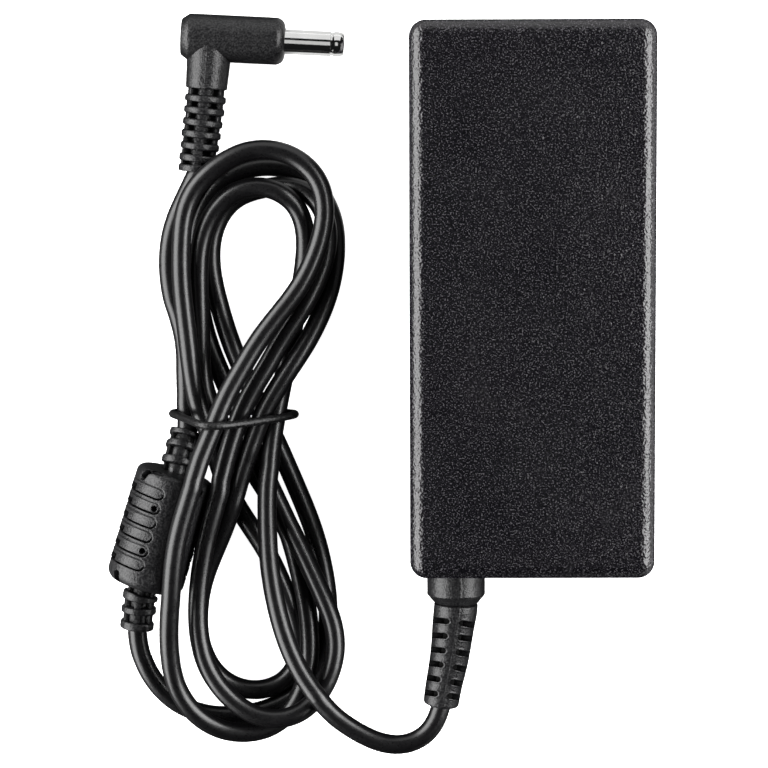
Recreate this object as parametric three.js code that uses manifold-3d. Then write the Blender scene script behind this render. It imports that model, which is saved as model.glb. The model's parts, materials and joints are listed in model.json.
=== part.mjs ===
// Laptop power adapter: brick, moulded cord boot, coiled low-voltage cord with a
// ferrite choke, a round tie and a right-angle barrel plug.
// Millimetres, +Z up. Origin: centre of the brick's underside. +Y: mains inlet end.

import * as THREE from 'three';
import { RoundedBoxGeometry } from 'three/addons/geometries/RoundedBoxGeometry.js';
import { mergeVertices } from 'three/addons/utils/BufferGeometryUtils.js';
import Module from 'manifold-3d';

const wasm = await Module();
wasm.setup();

// ---- shared dimensions ----------------------------------------------------
const BRICK_W = 47.5; // X
const BRICK_L = 108; // Y
const BRICK_H = 30; // Z
const BRICK_EDGE_R = 3;
const WALL = 2;
const SPLIT_Z = BRICK_H / 2; // parting plane
const GAP = 0.3; // clearance between neighbours
const CUT = 1; // how far a cutter runs past the face it opens
const END_Y = BRICK_L / 2;

const CORD_R = 1.95;
const BORE_R = 2.45; // bore for the cord in moulded parts
const CORD_SIDES = 8;
const BOOT_X = -14.7; // where the cord leaves the brick
const BOOT_Z = SPLIT_Z;

const INLET_HALF_W = 11.2;
const INLET_HALF_H = 7.9;
const INLET_CLEARANCE = 0.4;

// ---- cord and tie centre lines, points [x, y, z] ---------------------------
// Free end of the cord, from the boot to the bundle.
const LEAD_PATH = [
  [-18.08, -83.54, 12.54], [-20.11, -87.34, 12.62], [-23.68, -89.73, 12.71],
  [-27.97, -90.11, 12.79], [-32.1, -88.83, 12.89], [-35.88, -86.7, 13],
];

// Coiled cord, through the choke and on to the plug.
const COIL_PATH = [
  [-37.03, -85.9, 13.03], [-40.19, -83.16, 13.16], [-42.8, -79.88, 13.33], [-45.18, -76.47, 12.82],
  [-47.16, -72.8, 12.42], [-48.74, -68.93, 12.05], [-49.97, -64.94, 11.7], [-50.92, -60.87, 11.37],
  [-51.64, -56.74, 11.05], [-52.11, -52.59, 10.76], [-52.34, -48.41, 10.48], [-52.43, -44.22, 10.21],
  [-52.41, -40.03, 9.98], [-52.08, -35.88, 9.54], [-51.49, -31.86, 8.49], [-50.74, -27.86, 7.47],
  [-49.88, -23.92, 6.32], [-48.95, -19.94, 5.4], [-48.1, -15.88, 4.8], [-47.37, -11.75, 4.55],
  [-46.63, -7.63, 4.71], [-45.91, -3.5, 4.95], [-45.27, 0.63, 5.28], [-44.72, 4.75, 5.84],
  [-44.41, 8.89, 6.41], [-44.69, 13.03, 7.01], [-46.1, 16.9, 7.66], [-49.02, 19.79, 8.36],
  [-52.95, 21.15, 8.44], [-57.09, 20.74, 8.2], [-60.71, 18.68, 7.96], [-63.36, 15.45, 7.72],
  [-65.02, 11.62, 7.49], [-65.82, 7.51, 7.26], [-66.06, 3.34, 6.97], [-66.06, -0.85, 6.69],
  [-65.98, -5.03, 6.41], [-65.92, -9.22, 6.14], [-65.85, -13.4, 5.82], [-65.43, -17.54, 5.3],
  [-64.33, -21.52, 4.61], [-62.59, -25.27, 3.9], [-60.47, -28.79, 3.05], [-58.21, -32.26, 2.37],
  [-55.91, -35.75, 2.08], [-53.68, -39.3, 2.04], [-51.52, -42.89, 2.34], [-49.57, -46.58, 2.69],
  [-47.96, -50.43, 3.11], [-46.72, -54.4, 3.63], [-45.65, -58.42, 4.2], [-44.78, -62.48, 4.79],
  [-44.23, -66.6, 5.37], [-44.06, -70.77, 5.8], [-44.39, -74.94, 6.08], [-45.36, -79.01, 6.3],
  [-47.08, -82.82, 6.5], [-49.67, -86.09, 6.76], [-53.25, -88.09, 7.51], [-57.33, -88.71, 8.21],
  [-61.4, -88.06, 8.92], [-65.07, -86.21, 9.65], [-68.06, -83.37, 10.39], [-70.2, -79.87, 11.2],
  [-71.44, -75.98, 12.13], [-71.97, -71.94, 13.11], [-72.05, -67.85, 14.05], [-71.83, -63.76, 14.95],
  [-71.43, -59.67, 15.81], [-71.07, -55.54, 16.41], [-70.56, -51.39, 16.82], [-69.77, -47.28, 17.03],
  [-68.68, -43.23, 17.09], [-67.43, -39.23, 17.07], [-66.29, -35.23, 16.67], [-64.96, -31.28, 16.19],
  [-63.37, -27.43, 15.68], [-61.78, -23.58, 15.19], [-60.1, -19.76, 14.72], [-58.1, -16.1, 14.27],
  [-55.97, -12.52, 13.85], [-53.73, -8.99, 13.44], [-51.25, -5.63, 13.07], [-48.58, -2.41, 12.72],
  [-46.02, 0.89, 12.39], [-43.84, 4.46, 12.1], [-42.12, 8.27, 11.83], [-40.87, 12.27, 11.59],
  [-40.33, 16.42, 11.37], [-40.86, 20.56, 11.17], [-42.8, 24.25, 11], [-45.96, 26.97, 10.85],
  [-49.85, 28.49, 10.71], [-54.03, 28.71, 10.6], [-58.06, 27.61, 10.49], [-61.69, 25.53, 10.39],
  [-64.86, 22.79, 10.3], [-67.24, 19.36, 10.2], [-68.52, 15.37, 10.11], [-69.01, 11.21, 10.03],
  [-69.18, 7.02, 9.95], [-69.11, 2.83, 9.88], [-68.8, -1.36, 9.81], [-68.37, -5.53, 9.75],
  [-67.93, -9.7, 9.69], [-67.5, -13.87, 9.57], [-66.95, -18.01, 9.16], [-66.09, -22.08, 8.66],
  [-64.73, -26.02, 8.14], [-63.51, -29.93, 7.26], [-62.42, -33.87, 6.31], [-61.2, -37.78, 5.4],
  [-59.55, -41.53, 4.55], [-57.47, -45.16, 4.24], [-55.24, -48.7, 3.91], [-53.08, -52.28, 3.6],
  [-51.2, -56.02, 3.32], [-49.6, -59.89, 3.07], [-48.22, -63.84, 2.84], [-47.15, -67.89, 2.66],
  [-46.65, -72.05, 2.65], [-47.36, -76.16, 2.86], [-49.95, -79.39, 3.09], [-53.8, -80.96, 3.35],
  [-57.95, -80.78, 3.63], [-61.69, -78.97, 3.94], [-64.46, -75.86, 4.27], [-66.07, -72.01, 4.64],
  [-66.7, -67.89, 5.03], [-66.6, -63.72, 5.45], [-65.95, -59.61, 5.92], [-64.76, -55.63, 6.47],
  [-63.19, -51.78, 7.08], [-61.59, -47.95, 7.69], [-60.09, -44.08, 8.3], [-58.77, -40.13, 8.73],
  [-57.59, -36.11, 8.92], [-56.28, -32.14, 9.16], [-54.87, -28.19, 9.18], [-53.33, -24.29, 9.22],
  [-51.38, -20.57, 9.15], [-49.18, -17.01, 9], [-46.88, -13.52, 8.64], [-44.64, -10.05, 7.91],
  [-42.66, -6.47, 6.99], [-40.99, -2.72, 6.1], [-39.74, 1.19, 5.25], [-38.96, 5.23, 4.44],
  [-38.68, 9.36, 3.77], [-39, 13.49, 3.2], [-40.22, 17.46, 2.65], [-42.39, 21.01, 2.19],
  [-45.44, 23.87, 2.01], [-49.3, 25.44, 2.01], [-53.47, 25.78, 2.01], [-57.57, 24.93, 2.01],
  [-61.24, 22.92, 2.01], [-64.18, 19.96, 2.01], [-66.21, 16.3, 2.01], [-67.33, 12.26, 2.01],
  [-67.75, 8.09, 2.01], [-67.66, 3.9, 2.01], [-67.26, -0.28, 2.01], [-66.63, -4.43, 2.02],
  [-65.71, -8.52, 2.02], [-64.35, -12.48, 2.02], [-62.63, -16.28, 2.51], [-60.79, -19.97, 3.25],
  [-58.86, -23.61, 4.02], [-57.03, -27.32, 4.78], [-55.37, -31.15, 5.17], [-53.71, -34.98, 5.53],
  [-51.98, -38.79, 5.81], [-50.2, -42.55, 6.29], [-48.4, -46.32, 6.71], [-46.61, -50.1, 7.06],
  [-44.86, -53.9, 7.34], [-43.17, -57.73, 7.59], [-41.51, -61.58, 7.85], [-40.05, -65.5, 8.14],
  [-39.29, -69.6, 8.44], [-39.61, -73.77, 8.75], [-40.91, -77.73, 9.1], [-43.11, -81.27, 9.41],
  [-46.21, -83.87, 10.43], [-50.17, -85.11, 10.79], [-54.31, -84.68, 10.65], [-58, -82.72, 10.57],
  [-61.1, -79.9, 10.51], [-63.59, -76.53, 10.48], [-65.33, -72.73, 10.48], [-66.26, -68.64, 10.5],
  [-66.53, -64.46, 10.56], [-66.37, -60.27, 10.64], [-65.91, -56.1, 10.76], [-65.23, -51.96, 10.93],
  [-64.35, -47.87, 11.13], [-63.22, -43.83, 11.33], [-62, -39.82, 11.4], [-61.25, -35.72, 11.09],
  [-60.19, -31.67, 10.81], [-58.95, -27.67, 10.56], [-57.51, -23.74, 10.34], [-55.67, -19.97, 10.16],
  [-53.54, -16.36, 9.96], [-51.36, -12.79, 9.67], [-49.21, -9.2, 9.42], [-46.88, -5.71, 9.2],
  [-44.57, -2.22, 9.04], [-42.48, 1.4, 8.68], [-40.74, 5.19, 8.3], [-39.58, 9.19, 7.86],
  [-39.38, 13.34, 7.32], [-40.52, 17.32, 6.77], [-43.22, 20.42, 6.17], [-47.03, 21.82, 5.23],
  [-51.12, 21.69, 4.42], [-55.2, 20.79, 4.16], [-58.94, 18.93, 3.98], [-61.71, 15.81, 3.83],
  [-63.31, 11.95, 3.71], [-63.85, 7.8, 3.61], [-63.58, 3.61, 3.6], [-62.8, -0.51, 3.61],
  [-61.78, -4.58, 3.63], [-60.59, -8.6, 3.66], [-59.13, -12.53, 3.7], [-57.45, -16.37, 3.75],
  [-55.69, -20.18, 3.8], [-53.88, -23.96, 3.86], [-52.08, -27.71, 3.49], [-50.27, -31.5, 3.42],
  [-48.57, -35.33, 3.29], [-46.92, -39.18, 3.16], [-45.33, -43.06, 3.04], [-43.88, -47, 2.93],
  [-42.7, -51.02, 2.82], [-41.81, -55.12, 2.73], [-41.17, -59.26, 2.64], [-40.82, -63.44, 2.56],
  [-40.81, -67.64, 2.49], [-41.19, -71.81, 2.44], [-42.21, -75.87, 2.4], [-44.13, -79.59, 2.37],
  [-46.95, -82.69, 2.37], [-50.48, -84.88, 2.79], [-54.43, -86.21, 3.21], [-58.56, -86.81, 3.65],
  [-62.72, -86.75, 4.11], [-66.8, -85.92, 4.57], [-70.58, -84.17, 5.05], [-73.79, -81.53, 5.55],
  [-76.26, -78.19, 6.06], [-77.94, -74.39, 6.58], [-78.84, -70.33, 7.09], [-78.9, -66.17, 7.6],
  [-78.36, -62.02, 7.8], [-77.42, -57.94, 7.86], [-76.18, -53.93, 7.84], [-74.97, -49.91, 7.85],
  [-73.75, -45.9, 7.84], [-72.52, -41.89, 7.86], [-71.33, -37.87, 7.83], [-70.43, -33.82, 7.25],
  [-69.39, -30, 5.87], [-68.76, -26.09, 4.54], [-68.95, -21.93, 4.06], [-69.27, -17.76, 3.73],
  [-69.39, -13.57, 3.65], [-69.63, -9.39, 3.76], [-70.37, -5.26, 3.87], [-71.38, -1.19, 3.97],
  [-72.04, 2.95, 4.08], [-72.14, 7.14, 4.19], [-71.65, 11.3, 4.3], [-70.46, 15.31, 4.4],
  [-68.73, 19.13, 4.51], [-66.89, 22.9, 4.63],
];
// The stretch that runs through the choke and its two strain reliefs.
const CHOKE_RUN = COIL_PATH.slice(-24, -11);

// Tie, a closed ring round the waist of the bundle.
const TIE_PATH = [
  [-65.44, -24.89, 16.96], [-66.29, -24.76, 15.52], [-67.07, -24.65, 14.04],
  [-67.85, -24.54, 12.55], [-68.63, -24.44, 11.07], [-69.42, -24.36, 9.59], [-70.2, -24.29, 8.1],
  [-70.97, -24.23, 6.61], [-71.56, -24.2, 5.05], [-71.54, -24.2, 3.39], [-70.64, -24.21, 2],
  [-69.13, -24.21, 1.33], [-67.46, -24.21, 1.14], [-65.79, -24.21, 1.01], [-64.12, -24.21, 0.88],
  [-62.44, -24.2, 0.86], [-60.77, -24.2, 0.86], [-59.09, -24.2, 0.86], [-57.42, -24.2, 0.86],
  [-55.74, -24.2, 0.86], [-54.06, -24.2, 0.86], [-52.39, -24.2, 0.86], [-50.84, -24.22, 1.46],
  [-49.49, -24.24, 2.46], [-48.2, -24.23, 3.52], [-47.16, -24.21, 4.82], [-46.91, -24.2, 6.45],
  [-47.55, -24.24, 7.99], [-48.6, -24.32, 9.29], [-49.8, -24.43, 10.46], [-51.07, -24.54, 11.55],
  [-52.45, -24.67, 12.51], [-53.84, -24.78, 13.44], [-55.24, -24.89, 14.37], [-56.63, -24.99, 15.3],
  [-58.03, -25.07, 16.23], [-59.43, -25.13, 17.15], [-60.93, -25.16, 17.9], [-62.55, -25.13, 18.31],
  [-64.19, -25.02, 18.05],
];

// ---- materials: colour, roughness -----------------------------------------
const surface = (color, roughness, metalness = 0) =>
  new THREE.MeshStandardMaterial({ color, roughness, metalness });
const metal = (color, roughness) => surface(color, roughness, 1);
const MATERIAL = {
  brick: surface(0x17181b, 0.6),
  label: surface(0x2a2b2e, 0.5),
  inlet: surface(0x141416, 0.55),
  inletPin: metal(0xc9c6bd, 0.3),
  sheet: surface(0xd8d8d0, 0.6),
  board: surface(0x2c5a34, 0.55),
  fuse: surface(0xb9a98a, 0.4),
  xCapacitor: surface(0xc9a227, 0.5),
  toroid: surface(0x7a3b1d, 0.5),
  powerPart: surface(0x1b1b1d, 0.6),
  yCapacitor: surface(0x2f6fb0, 0.5),
  canSleeve: surface(0x1f2a44, 0.4),
  heatsink: metal(0xb4b6ba, 0.4),
  chip: surface(0x161618, 0.6),
  transformerCore: surface(0x2a2a2c, 0.7),
  winding: surface(0xd0b23a, 0.5),
  outputChoke: surface(0x8b4a22, 0.5),
  shield: metal(0xb87333, 0.35),
  moulding: surface(0x3b3c3f, 0.7),
  cordInside: surface(0x121214, 0.4),
  cord: surface(0x121214, 0.35),
  positiveWire: surface(0xa02020, 0.5),
  negativeWire: surface(0x202022, 0.5),
  ferrite: surface(0x2b2b2d, 0.6),
  barrel: metal(0xd6d7da, 0.18),
  insulator: surface(0x101012, 0.5),
  centrePin: metal(0xd6b25a, 0.25),
  tie: surface(0x2a2b2d, 0.55),
};

// ---- helpers --------------------------------------------------------------
const group = new THREE.Group();
function add(name, shape, material) {
  const geometry = shape instanceof wasm.Manifold ? geometryOf(shape) : shape;
  const mesh = new THREE.Mesh(geometry, material);
  mesh.name = name;
  group.add(mesh);
}

// Vector from the first three entries of a point or station.
const vector = ([x, y, z]) => new THREE.Vector3(x, y, z);
const directionFrom = (a, b) => vector(b).sub(vector(a)).normalize().toArray();
const pointAlong = (start, direction, distance) =>
  [0, 1, 2].map((i) => start[i] + direction[i] * distance);

function solid(geometry) {
  const bare = geometry.clone();
  bare.deleteAttribute('normal');
  bare.deleteAttribute('uv');
  const welded = mergeVertices(bare, 1e-4);
  return new wasm.Manifold(new wasm.Mesh({
    numProp: 3,
    vertProperties: new Float32Array(welded.attributes.position.array),
    triVerts: new Uint32Array(welded.index.array),
  }));
}

function geometryOf(manifold) {
  const mesh = manifold.getMesh();
  const geometry = new THREE.BufferGeometry();
  geometry.setAttribute('position', new THREE.Float32BufferAttribute(mesh.vertProperties, 3));
  geometry.setIndex(Array.from(mesh.triVerts));
  return geometry;
}

const union = (shapes) => shapes.map(solid).reduce((a, b) => a.add(b));
const cut = (body, ...cutters) => cutters.reduce((rest, c) => rest.subtract(solid(c)), body);

function box(x0, x1, y0, y1, z0, z1) {
  const geometry = new THREE.BoxGeometry(x1 - x0, y1 - y0, z1 - z0);
  return geometry.translate((x0 + x1) / 2, (y0 + y1) / 2, (z0 + z1) / 2);
}

// Turns a geometry's +Y axis to a direction, then moves its origin to a point.
function place(geometry, origin, direction) {
  const up = new THREE.Vector3(0, 1, 0);
  const turn = new THREE.Quaternion().setFromUnitVectors(up, vector(direction).normalize());
  return geometry.applyQuaternion(turn).translate(...origin);
}

// Cylinder, or cone when the end radius differs.
function rod(start, end, sides, startR, endR = startR) {
  const length = vector(start).distanceTo(vector(end));
  const middle = start.map((value, i) => (value + end[i]) / 2);
  const geometry = new THREE.CylinderGeometry(endR, startR, length, sides);
  return place(geometry, middle, directionFrom(start, end));
}
const rodAlongY = (x, z, startY, endY, ...section) =>
  rod([x, startY, z], [x, endY, z], ...section);

// Profile [[radius, height], ...] turned about the line from origin along direction.
function turned(profile, origin, direction, sides) {
  const points = profile.map(([r, h]) => new THREE.Vector2(r, h));
  return place(new THREE.LatheGeometry(points, sides), origin, direction);
}
const tube = (innerR, outerR, from, to, ...placing) => turned(
  [[innerR, from], [outerR, from], [outerR, to], [innerR, to], [innerR, from]], ...placing);

// Round section swept along a smooth curve.
function sweep(points, radius, sides, steps) {
  const section = Array.from({ length: sides }, (_, i) => {
    const angle = (2 * Math.PI * (i + 0.5)) / sides;
    return new THREE.Vector2(radius * Math.cos(angle), radius * Math.sin(angle));
  });
  const extrudePath = new THREE.CatmullRomCurve3(points.map(vector), false, 'centripetal');
  extrudePath.arcLengthDivisions = 3000;
  return new THREE.ExtrudeGeometry(new THREE.Shape(section),
    { extrudePath, steps, bevelEnabled: false });
}

// Point on a circle round a centre, in the plane of two unit vectors.
const onCircle = (centre, radius, angle, u, v) => centre.clone()
  .addScaledVector(u, radius * Math.cos(angle))
  .addScaledVector(v, radius * Math.sin(angle));

// Round ring swept along a closed curve. The torus lends its triangles only.
function closedRing(points, radius, sides, steps) {
  const curve = new THREE.CatmullRomCurve3(points.map(vector), true, 'centripetal');
  const geometry = new THREE.TorusGeometry(10, 1, sides, steps);
  const { normals, binormals } = curve.computeFrenetFrames(steps, true);
  const position = geometry.attributes.position;
  for (let k = 0; k < position.count; k++) {
    const j = Math.floor(k / (steps + 1));
    const i = (k % (steps + 1)) % steps;
    const angle = (-2 * Math.PI * (j % sides)) / sides;
    const point = onCircle(curve.getPointAt(i / steps), radius, angle, normals[i], binormals[i]);
    position.setXYZ(k, point.x, point.y, point.z);
  }
  return geometry;
}

// Round sections through stations [x, y, z, radius], closed at both ends.
function loft(stations, sides) {
  const centres = stations.map(vector);
  const last = centres.length - 1;
  const positions = [];
  const index = [];
  centres.forEach((centre, i) => {
    const along = new THREE.Vector3()
      .subVectors(centres[Math.min(i + 1, last)], centres[Math.max(i - 1, 0)]).normalize();
    const across = new THREE.Vector3(0, 0, 1).cross(along).normalize();
    const upward = along.clone().cross(across);
    for (let k = 0; k < sides; k++) {
      const angle = (2 * Math.PI * (k + 0.5)) / sides;
      positions.push(...onCircle(centre, stations[i][3], angle, across, upward).toArray());
    }
  });
  for (let i = 0; i < last; i++) {
    for (let k = 0; k < sides; k++) {
      const a = i * sides + k;
      const b = i * sides + (k + 1) % sides;
      index.push(a, b, b + sides, a, b + sides, a + sides);
    }
  }
  const startCentre = positions.length / 3;
  const endRing = last * sides;
  positions.push(...centres[0].toArray(), ...centres[last].toArray());
  for (let k = 0; k < sides; k++) {
    const next = (k + 1) % sides;
    index.push(startCentre, next, k, startCentre + 1, endRing + k, endRing + next);
  }
  const geometry = new THREE.BufferGeometry();
  geometry.setAttribute('position', new THREE.Float32BufferAttribute(positions, 3));
  geometry.setIndex(index);
  return geometry;
}

// Short disc round a strain relief, square to the line between its neighbours.
function reliefRing(before, centre, after, radius, thickness) {
  const direction = directionFrom(before, after);
  const end = (side) => pointAlong(centre, direction, side * thickness / 2);
  return rod(end(-1), end(1), 14, radius);
}

// ---- brick case -----------------------------------------------------------
const LABEL_W = 34;
const LABEL_L = 42;
const LABEL_Y = 28; // its centre
const LABEL_Z = [0.05, 0.3];
const LABEL_RECESS = 0.6;
const BOOT_HOLE_R = 3.8;

function labelBox(margin, z0, z1) {
  const halfW = LABEL_W / 2 + margin;
  const halfL = LABEL_L / 2 + margin;
  return box(-halfW, halfW, LABEL_Y - halfL, LABEL_Y + halfL, z0, z1);
}

// Hollow case with the inlet opening at +Y and the boot hole at -Y.
function caseShell() {
  const outer = new RoundedBoxGeometry(BRICK_W, BRICK_L, BRICK_H, 3, BRICK_EDGE_R);
  outer.translate(0, 0, BRICK_H / 2);
  const insideX = BRICK_W / 2 - WALL;
  const insideY = END_Y - WALL;
  const openX = INLET_HALF_W + INLET_CLEARANCE;
  const openZ = INLET_HALF_H + INLET_CLEARANCE;
  return cut(solid(outer),
    box(-insideX, insideX, -insideY, insideY, WALL, BRICK_H - WALL),
    box(-openX, openX, insideY - CUT, END_Y + CUT, SPLIT_Z - openZ, SPLIT_Z + openZ),
    rodAlongY(BOOT_X, BOOT_Z, -END_Y - CUT, -insideY + CUT, 16, BOOT_HOLE_R));
}

const shell = caseShell();
const shellBetween = (z0, z1) =>
  shell.intersect(solid(box(-BRICK_W, BRICK_W, -BRICK_L, BRICK_L, z0, z1)));
add('bottom_case',
  cut(shellBetween(-CUT, SPLIT_Z - GAP / 2), labelBox(GAP, -CUT, LABEL_RECESS)), MATERIAL.brick);
add('top_case', shellBetween(SPLIT_Z + GAP / 2, BRICK_H + CUT), MATERIAL.brick);
add('rating_label', labelBox(0, ...LABEL_Z), MATERIAL.label);

// ---- mains inlet ----------------------------------------------------------
const INLET_Y = [38.5, 53.6]; // inside end, outer face
const WELL_FLOOR_Y = 41.5;
const WELL_R = 3.4;
const PIN_HOLE_R = 1.45;
const PIN_R = 1.15;
const PIN_Y = [36.9, 51.2];
const PIN_X = 4.6;
const PINS = { // [x, z]
  inlet_pin_line: [-PIN_X, 13.4],
  inlet_pin_neutral: [PIN_X, 13.4],
  inlet_pin_earth: [0, 18.2],
};

function inletBody() {
  const wellY = [WELL_FLOOR_Y, INLET_Y[1] + CUT];
  const holeY = [INLET_Y[0] - CUT, WELL_FLOOR_Y + CUT];
  const block = box(-INLET_HALF_W, INLET_HALF_W, ...INLET_Y,
    SPLIT_Z - INLET_HALF_H, SPLIT_Z + INLET_HALF_H);
  const pinCuts = Object.values(PINS).flatMap(([x, z]) => [
    rodAlongY(x, z, ...wellY, 12, WELL_R),
    rodAlongY(x, z, ...holeY, 8, PIN_HOLE_R),
  ]);
  return cut(solid(block), ...pinCuts, box(-PIN_X, PIN_X, ...wellY, 12, 19.5));
}

add('ac_inlet_body', inletBody(), MATERIAL.inlet);
for (const [name, [x, z]] of Object.entries(PINS)) {
  add(name, rodAlongY(x, z, ...PIN_Y, 12, PIN_R), MATERIAL.inletPin);
}

// ---- circuit board and what stands on it ----------------------------------
const BOARD_TOP = 5.6;
const SEAT_Z = BOARD_TOP + GAP; // underside of the parts
const HEATSINK_TOP = 25;

// Box standing on the board.
const block = (x0, x1, y0, y1, height) => box(x0, x1, y0, y1, SEAT_Z, SEAT_Z + height);
const outputCan = (x, y) => rod([x, y, SEAT_Z], [x, y, SEAT_Z + 16], 16, 4.6);

function toroid() {
  const geometry = new THREE.TorusGeometry(5.4, 2.5, 6, 14);
  return geometry.rotateX(Math.PI / 2).translate(11.9, 31.9, SEAT_Z + 8);
}

// Block with two windows through it along Y.
const transformerCore = () => cut(solid(box(-13, 11, -23, -13, 6.2, 25.2)),
  box(-10, -4, -30, -5, 9.5, 22),
  box(2, 8, -30, -5, 9.5, 22));

const transformerWinding = () => cut(solid(box(-9.7, 7.7, -27, -9, 9.8, 21.7)),
  box(-4.3, 2.3, -23.3, -12.7, 8, 24));

// Bobbin with a flange at each end.
const outputChoke = () => turned(
  [[0, 0], [4.8, 0], [4.8, 1.6], [4.2, 1.6], [4.2, 9.4], [4.8, 9.4], [4.8, 11], [0, 11]],
  [-4.4, -38, SEAT_Z], [0, 0, 1], 12);

// Sheet folded over the top and both sides of the board, open below.
function emiShield() {
  const [inX, outX] = [21.15, 21.45];
  const [bottomZ, inZ, outZ] = [6, 27.1, 27.4];
  const outline = [
    [-outX, bottomZ], [-inX, bottomZ], [-inX, inZ], [inX, inZ],
    [inX, bottomZ], [outX, bottomZ], [outX, outZ], [-outX, outZ],
  ].map(([x, z]) => new THREE.Vector2(x, z));
  const geometry = new THREE.ExtrudeGeometry(new THREE.Shape(outline),
    { depth: 68, bevelEnabled: false });
  return geometry.rotateX(Math.PI / 2).translate(0, 32, 0);
}

// Name, shape, material.
const BOARD_PARTS = [
  ['insulating_sheet', box(-21.2, 21.2, -50.4, 37.4, 2.5, 2.9), MATERIAL.sheet],
  ['pcb', box(-20.5, 20.5, -49, 36.4, 4, BOARD_TOP), MATERIAL.board],
  ['fuse', rodAlongY(-16.2, SEAT_Z + 2.5, 26, 35.6, 12, 2.4), MATERIAL.fuse],
  ['x_capacitor', block(-11.5, 2.4, 28.8, 35.4, 12), MATERIAL.xCapacitor],
  ['common_mode_choke', toroid(), MATERIAL.toroid],
  ['bridge_rectifier', block(-20, -5, 20.6, 24.6, 11), MATERIAL.powerPart],
  ['y_capacitor', rodAlongY(-1, SEAT_Z + 4.3, 20.8, 24.4, 14, 4), MATERIAL.yCapacitor],
  ['bulk_capacitor', rodAlongY(11.3, SEAT_Z + 9, -5.2, 20.4, 20, 8.8), MATERIAL.canSleeve],
  ['primary_heatsink', box(-20.4, -18.9, -8, 18.6, SEAT_Z, HEATSINK_TOP), MATERIAL.heatsink],
  ['power_mosfet', block(-18.5, -14.1, 3, 13, 15), MATERIAL.powerPart],
  ['controller_chip', block(-11, -6.8, 5, 10, 1.6), MATERIAL.chip],
  ['transformer_core', transformerCore(), MATERIAL.transformerCore],
  ['transformer_winding', transformerWinding(), MATERIAL.winding],
  ['optocoupler', block(13.4, 18.1, -14.4, -8, 3.5), MATERIAL.chip],
  ['secondary_heatsink', box(18.9, 20.4, -45, -17, SEAT_Z, HEATSINK_TOP), MATERIAL.heatsink],
  ['output_rectifier', block(14.1, 18.5, -36, -26, 15), MATERIAL.powerPart],
  ['output_capacitor_1', outputCan(7.6, -33.6), MATERIAL.canSleeve],
  ['output_capacitor_2', outputCan(7.6, -43.6), MATERIAL.canSleeve],
  ['output_choke', outputChoke(), MATERIAL.outputChoke],
  ['emi_shield', emiShield(), MATERIAL.shield],
];
BOARD_PARTS.forEach((part) => add(...part));

// ---- cord boot ------------------------------------------------------------
const COLLAR_R = 5.56;
const SLOT_SIZE = [4, 1, 12];
const SLOT_INNER_X = 1.6; // from the centre line to the slot
const SLOT_FIRST_Y = -64.96;
const SLOT_PITCH = 2.93;
const SLOT_COUNT = 6;
// Round parts at the brick: start y, end y, sides, start radius, end radius.
const BOOT_RODS = [
  [-50.9, -51.7, 16, 5, 5],
  [-51.2, -55, 16, 3.4, 3.4],
  [-54.3, -59.4, 20, COLLAR_R, COLLAR_R],
  [-59.4, -60.7, 20, COLLAR_R, 4.9],
];
// Tapering sleeve: x, y, z, radius.
const BOOT_STATIONS = [
  [BOOT_X, -60.1, 15, 4.4], [-14.9, -61.4, 14.95, 4.32], [-15.19, -64.96, 14.6, 4.08],
  [-15.57, -68.67, 14.2, 3.8], [-16.31, -73.89, 13.4, 3.6], [-17.07, -78.06, 12.9, 3.45],
  [-17.62, -81.9, 12.5, 3.3],
];
const BOOT_RUN = [[BOOT_X, -54, 15], [-14.75, -58, 15], ...BOOT_STATIONS.slice(1)];

// Pair of slots, one each side of the sleeve, turned to follow its bend.
function bootSlots(y) {
  const [startX, startY, startZ] = BOOT_STATIONS[1];
  const [endX, endY, endZ] = BOOT_STATIONS.at(-1);
  const t = (y - startY) / (endY - startY);
  const x = startX + (endX - startX) * Math.pow(t, 1.25);
  const z = startZ + (endZ - startZ) * t;
  return [-1, 1].map((side) => new THREE.BoxGeometry(...SLOT_SIZE)
    .translate(side * (SLOT_INNER_X + SLOT_SIZE[0] / 2), 0, 0)
    .rotateZ(-(0.06 + 0.12 * t))
    .translate(x, y, z));
}

function cordBoot() {
  const body = union([
    ...BOOT_RODS.map((row) => rodAlongY(BOOT_X, BOOT_Z, ...row)),
    loft(BOOT_STATIONS, 12),
  ]);
  const bore = sweep([[BOOT_X, -49, 15], ...BOOT_RUN, [-17.9, -83.8, 12.3]], BORE_R, 8, 8);
  const slots = Array.from({ length: SLOT_COUNT },
    (_, i) => bootSlots(SLOT_FIRST_Y - SLOT_PITCH * i)).flat();
  return cut(body, bore, ...slots);
}

// Wire from the cord down to the board; side is -1 towards -X, 1 towards +X.
const innerWire = (side) => sweep([
  [BOOT_X + side * 0.9, -50.2, 15.4], [BOOT_X + side * 1.1, -48.6, 14.2],
  [BOOT_X + side * 1.3, -47.4, 10], [BOOT_X + side * 1.3, -47.2, SEAT_Z],
], 0.65, 6, 8);

add('cord_boot', cordBoot(), MATERIAL.moulding);
add('cord_in_boot',
  sweep([[BOOT_X, -51.5, 15], ...BOOT_RUN], CORD_R, CORD_SIDES, 12), MATERIAL.cordInside);
add('inner_wire_positive', innerWire(-1), MATERIAL.positiveWire);
add('inner_wire_negative', innerWire(1), MATERIAL.negativeWire);

// ---- cord -----------------------------------------------------------------
add('cord_lead', sweep(LEAD_PATH, CORD_R, CORD_SIDES, 7), MATERIAL.cord);
add('cord_coil', sweep(COIL_PATH, CORD_R, CORD_SIDES, 276), MATERIAL.cord);

// ---- ferrite choke --------------------------------------------------------
const CHOKE_R = 7.85;
const CHOKE_HALF_L = 11.8;
const CHOKE_CENTRE = [-74.14, -47.18, CHOKE_R];
const CHOKE_AXIS = [-0.29045, -0.95689, 0]; // towards the -Y end
const CORE_R = 6;
const CORE_HALF_L = 9.7;
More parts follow.
